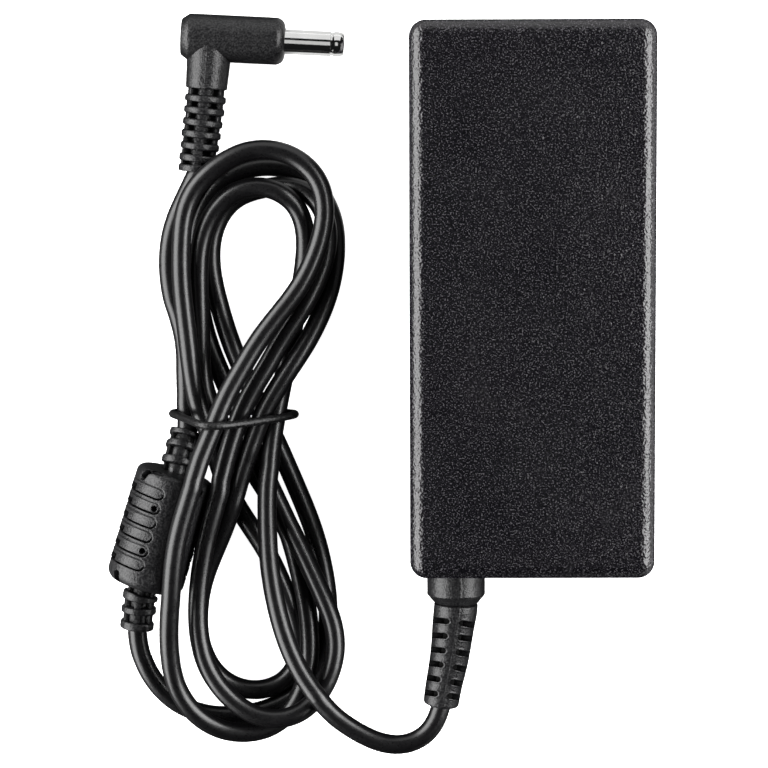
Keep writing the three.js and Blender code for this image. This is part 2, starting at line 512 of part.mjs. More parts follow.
// Strain reliefs. Stations: x, y, z, radius. Rings sit on the three middle stations.
const CHOKE_RELIEFS = [
  { // +Y end
    stations: [
      [-70.79, -36, 7.5, 3], [-70.2, -32.7, 7, 3], [-69.4, -30.01, 5.9, 2.95],
      [-68.72, -27.5, 4.75, 2.95], [-68.6, -26.9, 4.6, 2.95],
    ],
    ringRadii: [3.35, 3.35, 3.35],
  },
  { // -Y end
    stations: [
      [-77.5, -58.2, 7.85, 3], [-78.25, -60.83, 7.85, 3], [-78.6, -63.5, 7.75, 3],
      [-79.02, -66.8, 7.6, 2.95], [-79.12, -67.4, 7.55, 2.95],
    ],
    ringRadii: [3.6, 3.55, 3.4],
  },
];

function chokeJacket() {
  const profileHalf = [[0, 0], [4.9, 0], [7, 0.9], [CHOKE_R, 3]]; // radius, depth from the end
  const profile = [
    ...profileHalf.map(([r, depth]) => [r, depth - CHOKE_HALF_L]),
    ...profileHalf.toReversed().map(([r, depth]) => [r, CHOKE_HALF_L - depth]),
  ];
  const reliefs = CHOKE_RELIEFS.flatMap(({ stations, ringRadii }) => [
    loft(stations, 10),
    ...ringRadii.map((r, i) => reliefRing(...stations.slice(i, i + 3), r, 1.5)),
  ]);
  const coreEnd = (side) => pointAlong(CHOKE_CENTRE, CHOKE_AXIS, side * (CORE_HALF_L + GAP));
  return cut(union([turned(profile, CHOKE_CENTRE, CHOKE_AXIS, 20), ...reliefs]),
    sweep(CHOKE_RUN, BORE_R, 10, 16),
    rod(coreEnd(-1), coreEnd(1), 14, CORE_R + GAP));
}

add('choke_jacket', chokeJacket(), MATERIAL.moulding);
add('ferrite_core',
  tube(2.9, CORE_R, -CORE_HALF_L, CORE_HALF_L, CHOKE_CENTRE, CHOKE_AXIS, 14), MATERIAL.ferrite);

// ---- plug -----------------------------------------------------------------
const PLUG_Z = 4.7;
const HEAD_CLOSED = [-69.02, 51.23, PLUG_Z];
const HEAD_OPEN = [-48.35, 50.13, PLUG_Z]; // barrel end
const HEAD_R = 4.65;
const BARREL_R = 2.4;
const BARREL_INSIDE = 7.6; // length within the head
const BARREL_OUT = 11.2; // length outside it
const HEAD_AXIS = directionFrom(HEAD_CLOSED, HEAD_OPEN);
const inHead = (depth) => pointAlong(HEAD_OPEN, HEAD_AXIS, -depth);
// Strain relief rings: x, y, radius.
const PLUG_RINGS = [
  [-64.37, 39.05, 4.06], [-64.64, 36.67, 4.02], [-64.96, 34.29, 3.95], [-65.28, 31.97, 3.92],
  [-65.58, 29.62, 3.84], [-65.9, 27.25, 3.8], [-66.12, 25.2, 3.75],
];
const atPlugZ = ([x, y]) => [x, y, PLUG_Z];
const RING_CENTRES = PLUG_RINGS.map(atPlugZ);
const PLUG_RUN = [...[[-64, 42.5], [-64.25, 40.2]].map(atPlugZ), ...RING_CENTRES];

function plugBody() {
  const headL = vector(HEAD_CLOSED).distanceTo(vector(HEAD_OPEN));
  const headProfile = [
    [0, 0], [3.55, 0], [HEAD_R, 1.45], [HEAD_R, headL - 1.8],
    [4.15, headL - 0.6], [3.2, headL], [0, headL],
  ];
  const neck = [
    [-63.35, 50.6, PLUG_Z, 4.35], [-63.7, 46.2, PLUG_Z, 4.28], [-64.18, 40.7, PLUG_Z, 4.08],
  ];
  const reliefEnd = [-66.2, 24.5, PLUG_Z];
  const rings = RING_CENTRES.map((centre, i) => reliefRing(
    RING_CENTRES[i - 1] ?? [-64.1, 41.2, PLUG_Z], centre,
    RING_CENTRES[i + 1] ?? centre, PLUG_RINGS[i][2], 1.4));
  const body = union([
    turned(headProfile, HEAD_CLOSED, HEAD_AXIS, 18),
    loft(neck, 16),
    loft([...PLUG_RUN, reliefEnd].map((point) => [...point, 3.1]), 10),
    ...rings,
  ]);
  const borePath = [[-63.6, 46.2, PLUG_Z], ...PLUG_RUN, reliefEnd, [-66.55, 23.2, PLUG_Z]];
  return cut(body,
    sweep(borePath, BORE_R, 8, 9),
    rod(inHead(8), inHead(-CUT), 16, BARREL_R + GAP));
}

add('plug_body', plugBody(), MATERIAL.moulding);
add('cord_in_plug', sweep([[-63.62, 45.8, PLUG_Z], ...PLUG_RUN, [-66.18, 24.7, PLUG_Z]],
  CORD_R, CORD_SIDES, 10), MATERIAL.cordInside);
add('plug_barrel', tube(1.85, BARREL_R, 0, BARREL_INSIDE + BARREL_OUT,
  inHead(BARREL_INSIDE), HEAD_AXIS, 18), MATERIAL.barrel);
add('plug_insulator', tube(0.95, 1.55, 0, 15.6, inHead(5), HEAD_AXIS, 12), MATERIAL.insulator);
add('plug_centre_pin', turned([[0, 0], [0.55, 0], [0.55, 14.2], [0.3, 14.8], [0, 14.8]],
  inHead(5.2), HEAD_AXIS, 12), MATERIAL.centrePin);

// ---- tie ------------------------------------------------------------------
add('cable_tie', closedRing(TIE_PATH, 0.75, 6, 44), MATERIAL.tie);

export default group;
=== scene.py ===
# A power adapter lying on the floor (z = 0): a black brick with a mains inlet, and a cord
# wound into a coil, with a ferrite choke, a right-angled barrel plug and a rubber tie.
# The brick is centred on x = y = 0 with its length along y: inlet at +y, cord boot at -y.
# The coil lies beside it at -x, with the plug beyond the coil's +y end.
# Sizes are in millimetres; meshes, lights and textures are in metres.
import json
import math
import bmesh
import bpy
import numpy as np
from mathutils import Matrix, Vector


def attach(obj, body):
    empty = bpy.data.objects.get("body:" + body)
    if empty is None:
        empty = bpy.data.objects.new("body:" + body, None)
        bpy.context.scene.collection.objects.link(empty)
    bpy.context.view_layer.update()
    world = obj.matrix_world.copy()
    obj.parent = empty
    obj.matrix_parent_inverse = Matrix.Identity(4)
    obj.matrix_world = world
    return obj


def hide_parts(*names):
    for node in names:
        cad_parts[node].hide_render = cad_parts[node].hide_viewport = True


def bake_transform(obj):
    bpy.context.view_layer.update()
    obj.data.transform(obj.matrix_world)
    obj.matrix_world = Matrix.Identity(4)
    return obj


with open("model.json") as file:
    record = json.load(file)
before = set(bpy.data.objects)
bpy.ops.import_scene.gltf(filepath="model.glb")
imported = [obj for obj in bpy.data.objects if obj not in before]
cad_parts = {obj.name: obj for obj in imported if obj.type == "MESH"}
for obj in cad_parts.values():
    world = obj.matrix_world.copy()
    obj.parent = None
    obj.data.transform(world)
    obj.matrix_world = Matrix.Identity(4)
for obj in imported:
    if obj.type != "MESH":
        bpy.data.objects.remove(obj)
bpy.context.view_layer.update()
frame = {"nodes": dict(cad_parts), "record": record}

MM = 0.001
UP = np.array([0, 0, 1.0])


# ------------------------------------------------------------------ numbers
def points(text):
    """Rows of 'x,y,z' parted by spaces."""
    return np.array([row.split(",") for row in text.split()], float)


def unit(vectors):
    return vectors / np.linalg.norm(vectors, axis=-1, keepdims=True)


def around(count):
    """Evenly spaced angles of a full turn."""
    return np.linspace(0, 2 * np.pi, count, endpoint=False)


def smoothstep(x, start, end):
    t = np.clip((x - start) / (end - start), 0, 1)
    return t * t * (3 - 2 * t)


def bell(x, width):
    return np.exp(-(x / width) ** 2)


def level(vector):
    """The vector's level part, at unit length."""
    return np.array([vector[0], vector[1], 0]) / math.hypot(vector[0], vector[1])


def length_to(path, index):
    """Length of a polyline up to one of its points."""
    return float(np.linalg.norm(np.diff(path, axis=0), axis=1)[:index].sum())


# ------------------------------------------------------------------ curves
def second_derivatives(s, knots):
    """Second derivatives of the natural cubic spline at its knots."""
    count = len(s)
    step = np.diff(s)
    matrix = np.zeros((count, count))
    right = np.zeros((count, knots.shape[1]))
    matrix[0, 0] = matrix[-1, -1] = 1
    for i in range(1, count - 1):
        matrix[i, i - 1:i + 2] = step[i - 1], 2 * (step[i - 1] + step[i]), step[i]
        right[i] = 6 * ((knots[i + 1] - knots[i]) / step[i]
                        - (knots[i] - knots[i - 1]) / step[i - 1])
    return np.linalg.solve(matrix, right)


class Curve:
    """Natural cubic spline by arc length, continued straight past its ends."""

    def __init__(self, knots):
        self.knots = np.asarray(knots, float)
        spans = np.linalg.norm(np.diff(self.knots, axis=0), axis=1)
        self.s = np.r_[0, np.cumsum(spans)]
        self.bend = second_derivatives(self.s, self.knots)
        self.length = self.s[-1]

    def __call__(self, s):
        s = np.atleast_1d(np.asarray(s, float))
        held = np.clip(s, 0, self.length)
        k = np.clip(np.searchsorted(self.s, held) - 1, 0, len(self.s) - 2)
        step = (self.s[k + 1] - self.s[k])[:, None]
        a = (self.s[k + 1] - held)[:, None] / step
        b = 1 - a
        place = a * self.knots[k] + b * self.knots[k + 1]
        place += ((a ** 3 - a) * self.bend[k] + (b ** 3 - b) * self.bend[k + 1]) * step * step / 6
        place += np.where(s < 0, s, 0)[:, None] * unit(self.knots[1] - self.knots[0])
        past = np.where(s > self.length, s - self.length, 0)
        place += past[:, None] * unit(self.knots[-1] - self.knots[-2])
        return place


def tangents(centres):
    return unit(np.gradient(centres, axis=0))


def frames_transport(centres):
    """Tangent, side and cross directions, carried along without twist."""
    along = tangents(centres)
    side = np.zeros_like(centres)
    side[0] = unit(np.cross(UP, along[0]))
    for i in range(1, len(centres)):
        side[i] = unit(side[i - 1] - along[i] * (side[i - 1] @ along[i]))
    return along, side, np.cross(along, side)


def frames_upright(centres):
    """Tangent, level side and upward directions."""
    along = tangents(centres)
    side = unit(np.cross(along, UP))
    return along, side, np.cross(side, along)


# ------------------------------------------------------------------ meshes
def mesh_object(name, verts, faces, uvs=None):
    mesh = bpy.data.meshes.new(name)
    mesh.from_pydata((np.asarray(verts) * MM).tolist(), [], faces)
    mesh.validate()
    mesh.polygons.foreach_set("use_smooth", [True] * len(mesh.polygons))
    if uvs is not None:
        layer = mesh.uv_layers.new(name="UVMap")
        corner_verts = np.empty(len(mesh.loops), int)
        mesh.loops.foreach_get("vertex_index", corner_verts)
        layer.data.foreach_set("uv", uvs[corner_verts].ravel())
    mesh.update()
    ob = bpy.data.objects.new(name, mesh)
    bpy.context.scene.collection.objects.link(ob)
    return ob


def face_outward(ob):
    bm = bmesh.new()
    bm.from_mesh(ob.data)
    bmesh.ops.recalc_face_normals(bm, faces=bm.faces)
    bm.to_mesh(ob.data)
    bm.free()
    return ob


def smooth(ob, sharp=32):
    """Smooth shading, with edges sharp above an angle in degrees."""
    mesh = ob.data
    mesh.polygons.foreach_set("use_smooth", [True] * len(mesh.polygons))
    mesh.set_sharp_from_angle(angle=math.radians(sharp))
    return ob


def apply_modifiers(ob):
    bpy.context.view_layer.update()
    evaluated = ob.evaluated_get(bpy.context.evaluated_depsgraph_get())
    mesh = bpy.data.meshes.new_from_object(evaluated)
    ob.modifiers.clear()
    old = ob.data
    ob.data = mesh
    bpy.data.meshes.remove(old)


def boolean(ob, tool, operation="DIFFERENCE"):
    """Combine with the tool object, which is used up."""
    modifier = ob.modifiers.new("boolean", "BOOLEAN")
    modifier.operation = operation
    modifier.object = tool
    modifier.solver = "EXACT"
    apply_modifiers(ob)
    bpy.data.objects.remove(tool)


def ring_points(radius, centres, side, up):
    """Points at radius[ring, angle]; angle 0 lies along side and turns towards up."""
    angles = around(radius.shape[1])[None, :, None]
    spokes = np.cos(angles) * side[:, None, :] + np.sin(angles) * up[:, None, :]
    return centres[:, None, :] + radius[..., None] * spokes


def ring_faces(rings, count, closed=False):
    """Quads between rings of points; closed joins the last ring to the first."""
    i = np.arange(rings if closed else rings - 1)[:, None]
    after = (i + 1) % rings * count
    i = i * count
    j = np.arange(count)[None, :]
    j_next = (j + 1) % count
    quads = np.stack([i + j, i + j_next, after + j_next, after + j], -1)
    return quads.reshape(-1, 4).tolist()


def capped_faces(rings, count, flip=False):
    first = list(range(count))
    last = [(rings - 1) * count + k for k in first]
    faces = ring_faces(rings, count) + [first[::-1], last]
    return [face[::-1] for face in faces] if flip else faces


def tube(name, radius, centres, frames, uvs=None):
    along, side, up = frames
    flip = np.dot(np.cross(side[0], up[0]), along[0]) < 0
    verts = ring_points(radius, centres, side, up).reshape(-1, 3)
    return mesh_object(name, verts, capped_faces(*radius.shape, flip), uvs)


def lathe(name, profile, origin, axis, count=72, closed=False, sharp=32):
    """Turn a profile of (radius, height) about an axis; radius 0 is a single point."""
    axis = unit(np.array(axis, float))
    across = unit(np.cross(axis, UP))
    third = np.cross(axis, across)
    verts, faces, rings = [], [], []
    for radius, height in profile:
        foot = np.array(origin) + axis * height
        if radius < 1e-6:
            rings.append([len(verts)])
            verts.append(foot)
            continue
        rings.append(list(range(len(verts), len(verts) + count)))
        for k in range(count):
            t = 2 * np.pi * k / count
            verts.append(foot + radius * (math.cos(t) * across + math.sin(t) * third))
    for i in range(len(rings) if closed else len(rings) - 1):
        a, b = rings[i], rings[(i + 1) % len(rings)]
        for k in range(count):
            k_next = (k + 1) % count
            if len(a) == 1:
                faces.append((a[0], b[k], b[k_next]))
            elif len(b) == 1:
                faces.append((a[k], b[0], a[k_next]))
            else:
                faces.append((a[k], b[k], b[k_next], a[k_next]))
    return smooth(face_outward(mesh_object(name, verts, faces)), sharp)


def bore_tool(radius, origin, axis, start, count):
    """Cylinder from start to 1 mm beyond the origin, for drilling."""
    profile = [(0, start), (radius, start), (radius, 1.0), (0, 1.0)]
    return lathe("bore", profile, origin, axis, count)


def rounded_rect(half_x, half_y, radius, steps=10, centre=(0, 0)):
    outline = []
    for sign_x, sign_y, start in ((1, 1, 0), (-1, 1, 90), (-1, -1, 180), (1, -1, 270)):
        for k in range(steps + 1):
            t = math.radians(start + 90 * k / steps)
            outline.append((sign_x * (half_x - radius) + radius * math.cos(t) + centre[0],
                            sign_y * (half_y - radius) + radius * math.sin(t) + centre[1]))
    return outline


def circle(radius, count, centre):
    return [(centre[0] + radius * math.cos(t), centre[1] + radius * math.sin(t))
            for t in around(count)]


def loft(name, sections, steps=10, centre=(0, 0)):
    """Join sections (z, half x, half y, corner radius) in order and close both ends."""
    verts = [(x, y, z) for z, *shape in sections
             for x, y in rounded_rect(*shape, steps, centre)]
    ob = mesh_object(name, verts, capped_faces(len(sections), 4 * (steps + 1)))
    return smooth(face_outward(ob))


def prism(near, far, name="cutter"):
    """Closed solid between two matching outlines."""
    n = len(near)
    faces = [tuple(range(n)), tuple(reversed(range(n, 2 * n)))]
    faces += [(i, n + i, n + (i + 1) % n, (i + 1) % n) for i in range(n)]
    return face_outward(mesh_object(name, near + far, faces))


def prism_y(outline, y0, y1, name="cutter"):
    """Outline in x, z, carried from y0 to y1."""
    return prism([(x, y0, z) for x, z in outline], [(x, y1, z) for x, z in outline], name)


def join(obs):
    """One object from several, which are used up."""
    verts, faces = [], []
    for ob in obs:
        first = len(verts)
        verts += [tuple(v.co / MM) for v in ob.data.vertices]
        faces += [tuple(i + first for i in p.vertices) for p in ob.data.polygons]
        bpy.data.objects.remove(ob)
    return mesh_object("joined", verts, faces)


# ------------------------------------------------------------------ materials
LOOK = {}   # material of each slot


class Graph:
    """A node tree under construction. Inputs take a number, a colour or another's output."""

    def __init__(self, owner, output):
        owner.use_nodes = True
        self.tree = owner.node_tree
        self.tree.nodes.clear()
        self.output = self.add(output)

    def add(self, kind, inputs=None, **settings):
        node = self.tree.nodes.new("ShaderNode" + kind)
        for key, value in settings.items():
            setattr(node, key, value)
        self.fill(node, inputs or {})
        return node

    def fill(self, node, inputs):
        for key, value in inputs.items():
            if isinstance(value, bpy.types.NodeSocket):
                self.tree.links.new(value, node.inputs[key])
            else:
                node.inputs[key].default_value = value

    def principled(self):
        shader = self.add("BsdfPrincipled")
        self.fill(self.output, {0: shader.outputs[0]})
        return shader

    def coords(self, kind="Object"):
        return self.add("TexCoord").outputs[kind]

    def mapping(self, vector, **inputs):
        return self.add("Mapping", {"Vector": vector, **inputs}).outputs[0]

    def noise(self, vector, scale, detail=2.0, roughness=0.5):
        return self.add("TexNoise", {"Scale": scale, "Detail": detail, "Roughness": roughness,
                                     "Vector": vector}).outputs["Fac"]

    def ramp(self, value, stops):
        node = self.add("ValToRGB", {0: value})
        elements = node.color_ramp.elements
        while len(elements) < len(stops):
            elements.new(0.5)
        for element, (position, colour) in zip(elements, stops):
            element.position = position
            element.color = (*colour, 1)
        return node.outputs[0]

    def remap(self, value, src, to):
        """Map the range src onto the range to."""
        return self.add("MapRange", {0: value, 1: src[0], 2: src[1],
                                     3: to[0], 4: to[1]}).outputs[0]

    def math(self, operation, a, b):
        return self.add("Math", {0: a, 1: b}, operation=operation).outputs[0]

    def bump(self, height, distance, under=None):
        inputs = {"Strength": 1.0, "Distance": distance, "Height": height}
        if under is not None:
            inputs["Normal"] = under
        return self.add("Bump", inputs).outputs[0]

    def mix_shader(self, factor, first, second):
        return self.add("MixShader", {0: factor, 1: first.outputs[0],
                                      2: second.outputs[0]}).outputs[0]


def new_look(slot):
    LOOK[slot] = bpy.data.materials.new(slot + "_look")
    return Graph(LOOK[slot], "OutputMaterial")


def plain_look(slot, colour, roughness, scale=900, variation=0.25, bump=0.00002, coat=0.0,
               seed=0.0):
    """Surface whose colour, roughness and height vary by noise; seed shifts the noise."""
    g = new_look(slot)
    shader = g.principled()
    co = g.mapping(g.coords(), Location=(seed, seed * 0.37, -seed * 0.61))
    fine = g.noise(co, scale=scale, detail=4, roughness=0.6)
    broad = g.noise(co, scale=scale * 0.13)
    dark = tuple(c * (1 - variation) for c in colour)
    light = tuple(c * (1 + variation) for c in colour)
    g.fill(shader, {
        "Base Color": g.ramp(broad, [(0.3, dark), (0.7, light)]),
        "Roughness": g.remap(fine, src=(0.25, 0.75), to=(roughness - 0.12, roughness + 0.12)),
        "Coat Weight": coat,
        "Normal": g.bump(fine, distance=bump)})


def metal_look(slot, colour, roughness, stretch=(1, 1, 1)):
    g = new_look(slot)
    shader = g.principled()
    co = g.coords()
    brushed = g.mapping(co, Rotation=(0, 0, math.radians(3)), Scale=stretch)
    fine = g.noise(brushed, scale=3000, detail=3, roughness=0.6)
    broad = g.noise(co, scale=300)
    g.fill(shader, {
        "Base Color": g.ramp(broad, [(0.3, tuple(c * 0.93 for c in colour)), (0.7, colour)]),
        "Metallic": 1.0,
        "Roughness": g.remap(fine, src=(0.3, 0.7), to=(roughness * 0.7, roughness * 1.4)),
        "Normal": g.bump(fine, distance=0.0000025)})


def case_look():
    g = new_look("case_plastic")
    shader = g.add("BsdfPrincipled")
    co = g.coords()
    # spark-eroded grain: rounded bumps under half a millimetre across
    cells = g.add("TexVoronoi", {"Scale": 2100, "Smoothness": 1.0, "Detail": 0.0, "Vector": co},
                  feature="SMOOTH_F1").outputs["Distance"]
    grain = g.math("ADD", g.remap(cells, src=(0, 0.9), to=(0, 0.6)),
                   g.noise(co, scale=2300, detail=0.0))
    normal = g.bump(grain, distance=0.000105)
    # sparse pale specks painted into the colour as glints of the grain, from the product of two
    # noises
    glint_specks = g.math("MULTIPLY", g.noise(co, scale=2700, detail=1.0),
                    g.noise(co, scale=3700, detail=0.0))
    drift = g.remap(g.noise(co, scale=950, detail=1.0), src=(0.2, 0.8), to=(-0.05, 0.05))
    # the palest stops of this ramp are the painted glint colour
    colour = g.ramp(g.math("ADD", g.math("MULTIPLY", glint_specks, 2.0), drift), [
        (0.28, (0.0001, 0.0001, 0.0003)), (0.46, (0.0007, 0.0005, 0.0012)),
        (0.62, (0.0050, 0.0045, 0.0060)), (0.86, (0.0360, 0.0345, 0.0375))])
    # at a glancing view the gloss is turned down and a paler matt colour, a painted sheen, is
    # mixed in instead
    facing = g.add("LayerWeight", {"Blend": 0.5}).outputs["Facing"]
    g.fill(shader, {
        "Normal": normal,
        "Base Color": colour,
        "Roughness": g.remap(g.noise(co, scale=60), src=(0.3, 0.7), to=(0.23, 0.28)),
        "IOR": 1.46,
        "Specular IOR Level": g.remap(facing, src=(0.38, 0.78), to=(0.5, 0.07))})
    # paler copy of the colour, the painted sheen seen at glancing views
    paler = g.add("VectorMath", {0: colour, "Scale": 2.5}, operation="SCALE").outputs[0]
    matt = g.add("BsdfDiffuse", {"Color": paler, "Normal": normal})
    share = g.remap(facing, src=(0.40, 0.80), to=(0.0, 0.90))
    g.fill(g.output, {0: g.mix_shader(share, shader, matt)})


def cord_look():
    g = new_look("cord_pvc")
    shader = g.principled()
    stretched = g.mapping(g.coords("UV"), Scale=(1.0, 0.035, 1.0))
    co = g.coords()
    drawn = g.noise(stretched, scale=2300, detail=3, roughness=0.55)   # lines from the die
    satin = g.noise(co, scale=2600, detail=1)                          # satin skin
    wave = g.noise(co, scale=170)                                      # slow unevenness
    skin = g.math("ADD", g.remap(drawn, src=(0, 1), to=(0, 0.80)),
                  g.remap(satin, src=(0, 1), to=(0, 0.22)))
    g.fill(shader, {
        "Normal": g.bump(wave, distance=0.00006, under=g.bump(skin, distance=0.000010)),
        "Base Color": g.ramp(wave, [(0.3, (0.0008, 0.0007, 0.0009)),
                                    (0.7, (0.0018, 0.0017, 0.0020))]),
        "Roughness": g.remap(satin, src=(0.3, 0.7), to=(0.27, 0.35)),
        "IOR": 1.43})


def moulded_look(slot, brightness=0.25, roughness=0.38, seed=0.0):
    """Grained soft plastic with painted shade: dark and dull in its recesses."""
    g = new_look(slot)
    shader = g.principled()
    co = g.mapping(g.coords(), Location=(seed, seed * 0.7, seed * 0.3))
    fine = g.noise(co, scale=2900, detail=0.5)
    coarse = g.noise(co, scale=1500, detail=0.0)
    height = g.math("ADD", fine, g.remap(coarse, src=(0, 1), to=(0, 0.5)))
    broad = g.noise(co, scale=420, detail=3, roughness=0.6)
    # painted shade: 1 on open surfaces, near 0 in corners and where the mesh is marked for pit
    # shade
    nearby = g.add("AmbientOcclusion", {"Distance": 0.0013}, samples=6).outputs["AO"]
    pit_shade = g.add("Attribute", attribute_name="pit_shade").outputs["Fac"]
    unshaded = g.math("MULTIPLY", g.remap(nearby, src=(0.30, 0.80), to=(0.02, 1.0)),
                      g.remap(pit_shade, src=(0.1, 0.6), to=(1.0, 0.02)))
    shades = [(0.34, (0.0105, 0.0104, 0.0118)), (0.5, (0.0165, 0.0162, 0.0180)),
              (0.66, (0.026, 0.0255, 0.0275))]
    blend = g.math("ADD", g.remap(broad, src=(0, 1), to=(0, 0.45)),
                   g.remap(fine, src=(0, 1), to=(0, 0.55)))
    tone = g.ramp(blend, [(at, tuple(brightness * c for c in shade)) for at, shade in shades])
    mix = g.add("Mix", data_type="RGBA")
    # the node repeats its socket names for each data type, so they go by identifier
    sockets = {socket.identifier: socket for socket in mix.inputs}
    results = {socket.identifier: socket for socket in mix.outputs}
    # near-black colour of the painted shade in corners and pits
    sockets["A_Color"].default_value = (0.0004, 0.0004, 0.0004, 1)
    g.tree.links.new(unshaded, sockets["Factor_Float"])
    g.tree.links.new(tone, sockets["B_Color"])
    gloss = g.remap(fine, src=(0.32, 0.68), to=(0.36, 0.68))
    g.fill(shader, {
        "Normal": g.bump(height, distance=0.00006),
        "Base Color": results["Result_Color"],
        # the painted shade also takes the gloss out of corners and pits
        "Specular IOR Level": g.math("MULTIPLY", unshaded, gloss),
        "Roughness": g.remap(fine, src=(0.3, 0.7), to=(roughness - 0.06, roughness + 0.08)),
        "IOR": 1.38})


case_look()
cord_look()
moulded_look("moulded_pvc")
moulded_look("tie_rubber", brightness=0.10, roughness=0.40, seed=3.1)
metal_look("plated_metal", (0.86, 0.86, 0.85), roughness=0.10)
metal_look("gold_pin", (0.83, 0.62, 0.26), roughness=0.2)
metal_look("pin_metal", (0.75, 0.73, 0.68), roughness=0.25, stretch=(1, 0.05, 1))
plain_look("insulator", (0.006, 0.006, 0.0065), roughness=0.45, scale=2500)
plain_look("label_film", (0.012, 0.012, 0.014), roughness=0.38, scale=2500, bump=0.000006,
           seed=0.4)
plain_look("socket_plastic", (0.006, 0.006, 0.0068), roughness=0.5, scale=2600, seed=1.3)
plain_look("board", (0.015, 0.10, 0.035), roughness=0.35, scale=700, variation=0.5, coat=0.3,
           seed=2.1)
plain_look("sheet", (0.62, 0.62, 0.58), roughness=0.4, scale=500, seed=2.7)
plain_look("black_epoxy", (0.012, 0.012, 0.013), roughness=0.55, scale=3000, seed=3.3)
plain_look("film_capacitor", (0.62, 0.42, 0.05), roughness=0.4, scale=1500, seed=3.9)
plain_look("ceramic_blue", (0.03, 0.14, 0.42), roughness=0.25, coat=0.5, seed=4.4)
plain_look("capacitor_sleeve", (0.012, 0.02, 0.06), roughness=0.3, scale=600, coat=0.3,
           seed=5.2)
plain_look("ferrite", (0.02, 0.02, 0.021), roughness=0.7, scale=3500, bump=0.00005, seed=6.1)
metal_look("copper_winding", (0.62, 0.24, 0.09), roughness=0.35, stretch=(1, 1, 8))
plain_look("winding_tape", (0.72, 0.48, 0.04), roughness=0.3, scale=400, coat=0.4, seed=7.7)
metal_look("heatsink_metal", (0.66, 0.67, 0.68), roughness=0.35, stretch=(1, 6, 1))
metal_look("copper_foil", (0.78, 0.42, 0.25), roughness=0.3, stretch=(1, 1, 3))
plain_look("glass_ceramic", (0.5, 0.43, 0.3), roughness=0.35, seed=8.2)
plain_look("wire_red", (0.35, 0.015, 0.012), roughness=0.4, scale=1500, seed=8.8)
plain_look("wire_black", (0.006, 0.006, 0.007), roughness=0.4, scale=1500, seed=9.1)
# near-black matt look for the cord inside the boot and the plug: painted shade seen through the
# windows
moulded_look("shaded_pvc", brightness=0.03, roughness=0.85, seed=5.0)


def dress(ob, slot, body=None, replaces=None):
    """Give a piece its material, the body it rides on and the CAD part it replaces."""
    ob.data.materials.clear()
    ob.data.materials.append(LOOK[slot])
    if body:
        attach(ob, body)
    if replaces:
        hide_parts(replaces)


def dress_cad_parts():
    """The CAD parts keep their shape and only get their materials."""
    slot_of = {part["node"]: part["material_slot"] for part in frame["record"]["subparts"]}
    for name, ob in frame["nodes"].items():
        slot = slot_of[name]
        if len(ob.material_slots) == 0:
            ob.data.materials.append(LOOK[slot])
        # these inner cord pieces get the painted-shade look
        shaded = name in ("cord_in_boot", "cord_in_plug")
        for material_slot in ob.material_slots:
            material_slot.material = LOOK["shaded_pvc" if shaded else slot]


dress_cad_parts()

# ------------------------------------------------------------------ brick case
CASE_X, CASE_Y, CASE_Z = 47.5, 108, 30
CORNER_R = 3.25              # corners in plan
EDGE_R = 3.0                 # rounding of the top and bottom edges
MID_Z = CASE_Z / 2           # height of the seam, the inlet and the cord
BOOT_X = -14.7
LABEL_AT = (0, 28)           # x, y
# inner wall and the step at the seam: z, inset from the outer wall, corner radius
TOP_INNER = [(28, 2.0, 1.3), (27.4, 2.0, 1.3), (16.3, 2.0, 1.3), (16.2, 0.95, 2.3),
             (15.17, 0.95, 2.3)]
BOTTOM_INNER = [(2, 2.0, 1.3), (2.6, 2.0, 1.3), (15.9, 2.0, 1.3), (15.9, 1.1, 2.1),
                (14.83, 1.1, 2.1)]
# outer wall, from the seam outward: distance from MID_Z, inset
OUTER_WALL = [(0.17, 0.22), (0.24, 0.09), (0.40, 0.0), (3, 0.0), (6, 0.0), (9, 0.0)]


def case_section(z, inset, corner=None):
    corner = CORNER_R - inset if corner is None else corner
    return z, CASE_X / 2 - inset, CASE_Y / 2 - inset, corner


def case_half(name, inner, direction):
    """direction is 1 for the upper half and -1 for the lower."""
    sections = [case_section(*row) for row in inner]
    sections += [case_section(MID_Z + direction * dz, inset) for dz, inset in OUTER_WALL]
    round_z = MID_Z + direction * (MID_Z - EDGE_R)
    for k in range(13):
        t = math.radians(90 * k / 12)
        sections.append(case_section(round_z + direction * EDGE_R * math.sin(t),
                                     EDGE_R * (1 - math.cos(t))))
    half = loft(name, sections, steps=12)
    inlet_hole = rounded_rect(11.55, 8.2, 1.6, steps=8, centre=(0, MID_Z))
    boolean(half, prism_y(inlet_hole, 50.5, 56))
    boolean(half, prism_y(circle(3.8, 64, (BOOT_X, MID_Z)), -56, -50.5))
    return half


def case():
    top = case_half("top_case_shell", TOP_INNER, 1)
    bottom = case_half("bottom_case_shell", BOTTOM_INNER, -1)
    recess = [(z, 17.3, 21.3, 1.8) for z in (-1, 0.6)]
    boolean(bottom, loft("label_recess", recess, centre=LABEL_AT))
    for half, part in ((top, "top_case"), (bottom, "bottom_case")):
        smooth(half, 40)
        dress(half, "case_plastic", "brick", part)
    label = loft("rating_label_film", [(0.06, 16.9, 20.9, 1.5), (0.10, 17.0, 21.0, 1.6),
                                       (0.28, 17.0, 21.0, 1.6), (0.32, 16.9, 20.9, 1.5)],
                 centre=LABEL_AT)
    dress(label, "label_film", "brick", "rating_label")


case()

# ------------------------------------------------------------------ mains inlet
PIN_AT = {"line": (-4.6, 13.4), "neutral": (4.6, 13.4), "earth": (0.0, 18.2)}   # x, z
INLET_FLOOR_Y = 41.5         # bottom of the socket's opening
PIN_START_Y = 36.9
PIN_PROFILE = [(0, 0), (1.0, 0), (1.15, 0.15), (1.15, 12.9), (1.05, 13.5), (0.75, 14.0),
               (0.35, 14.25), (0, 14.3)]   # radius, distance along +y


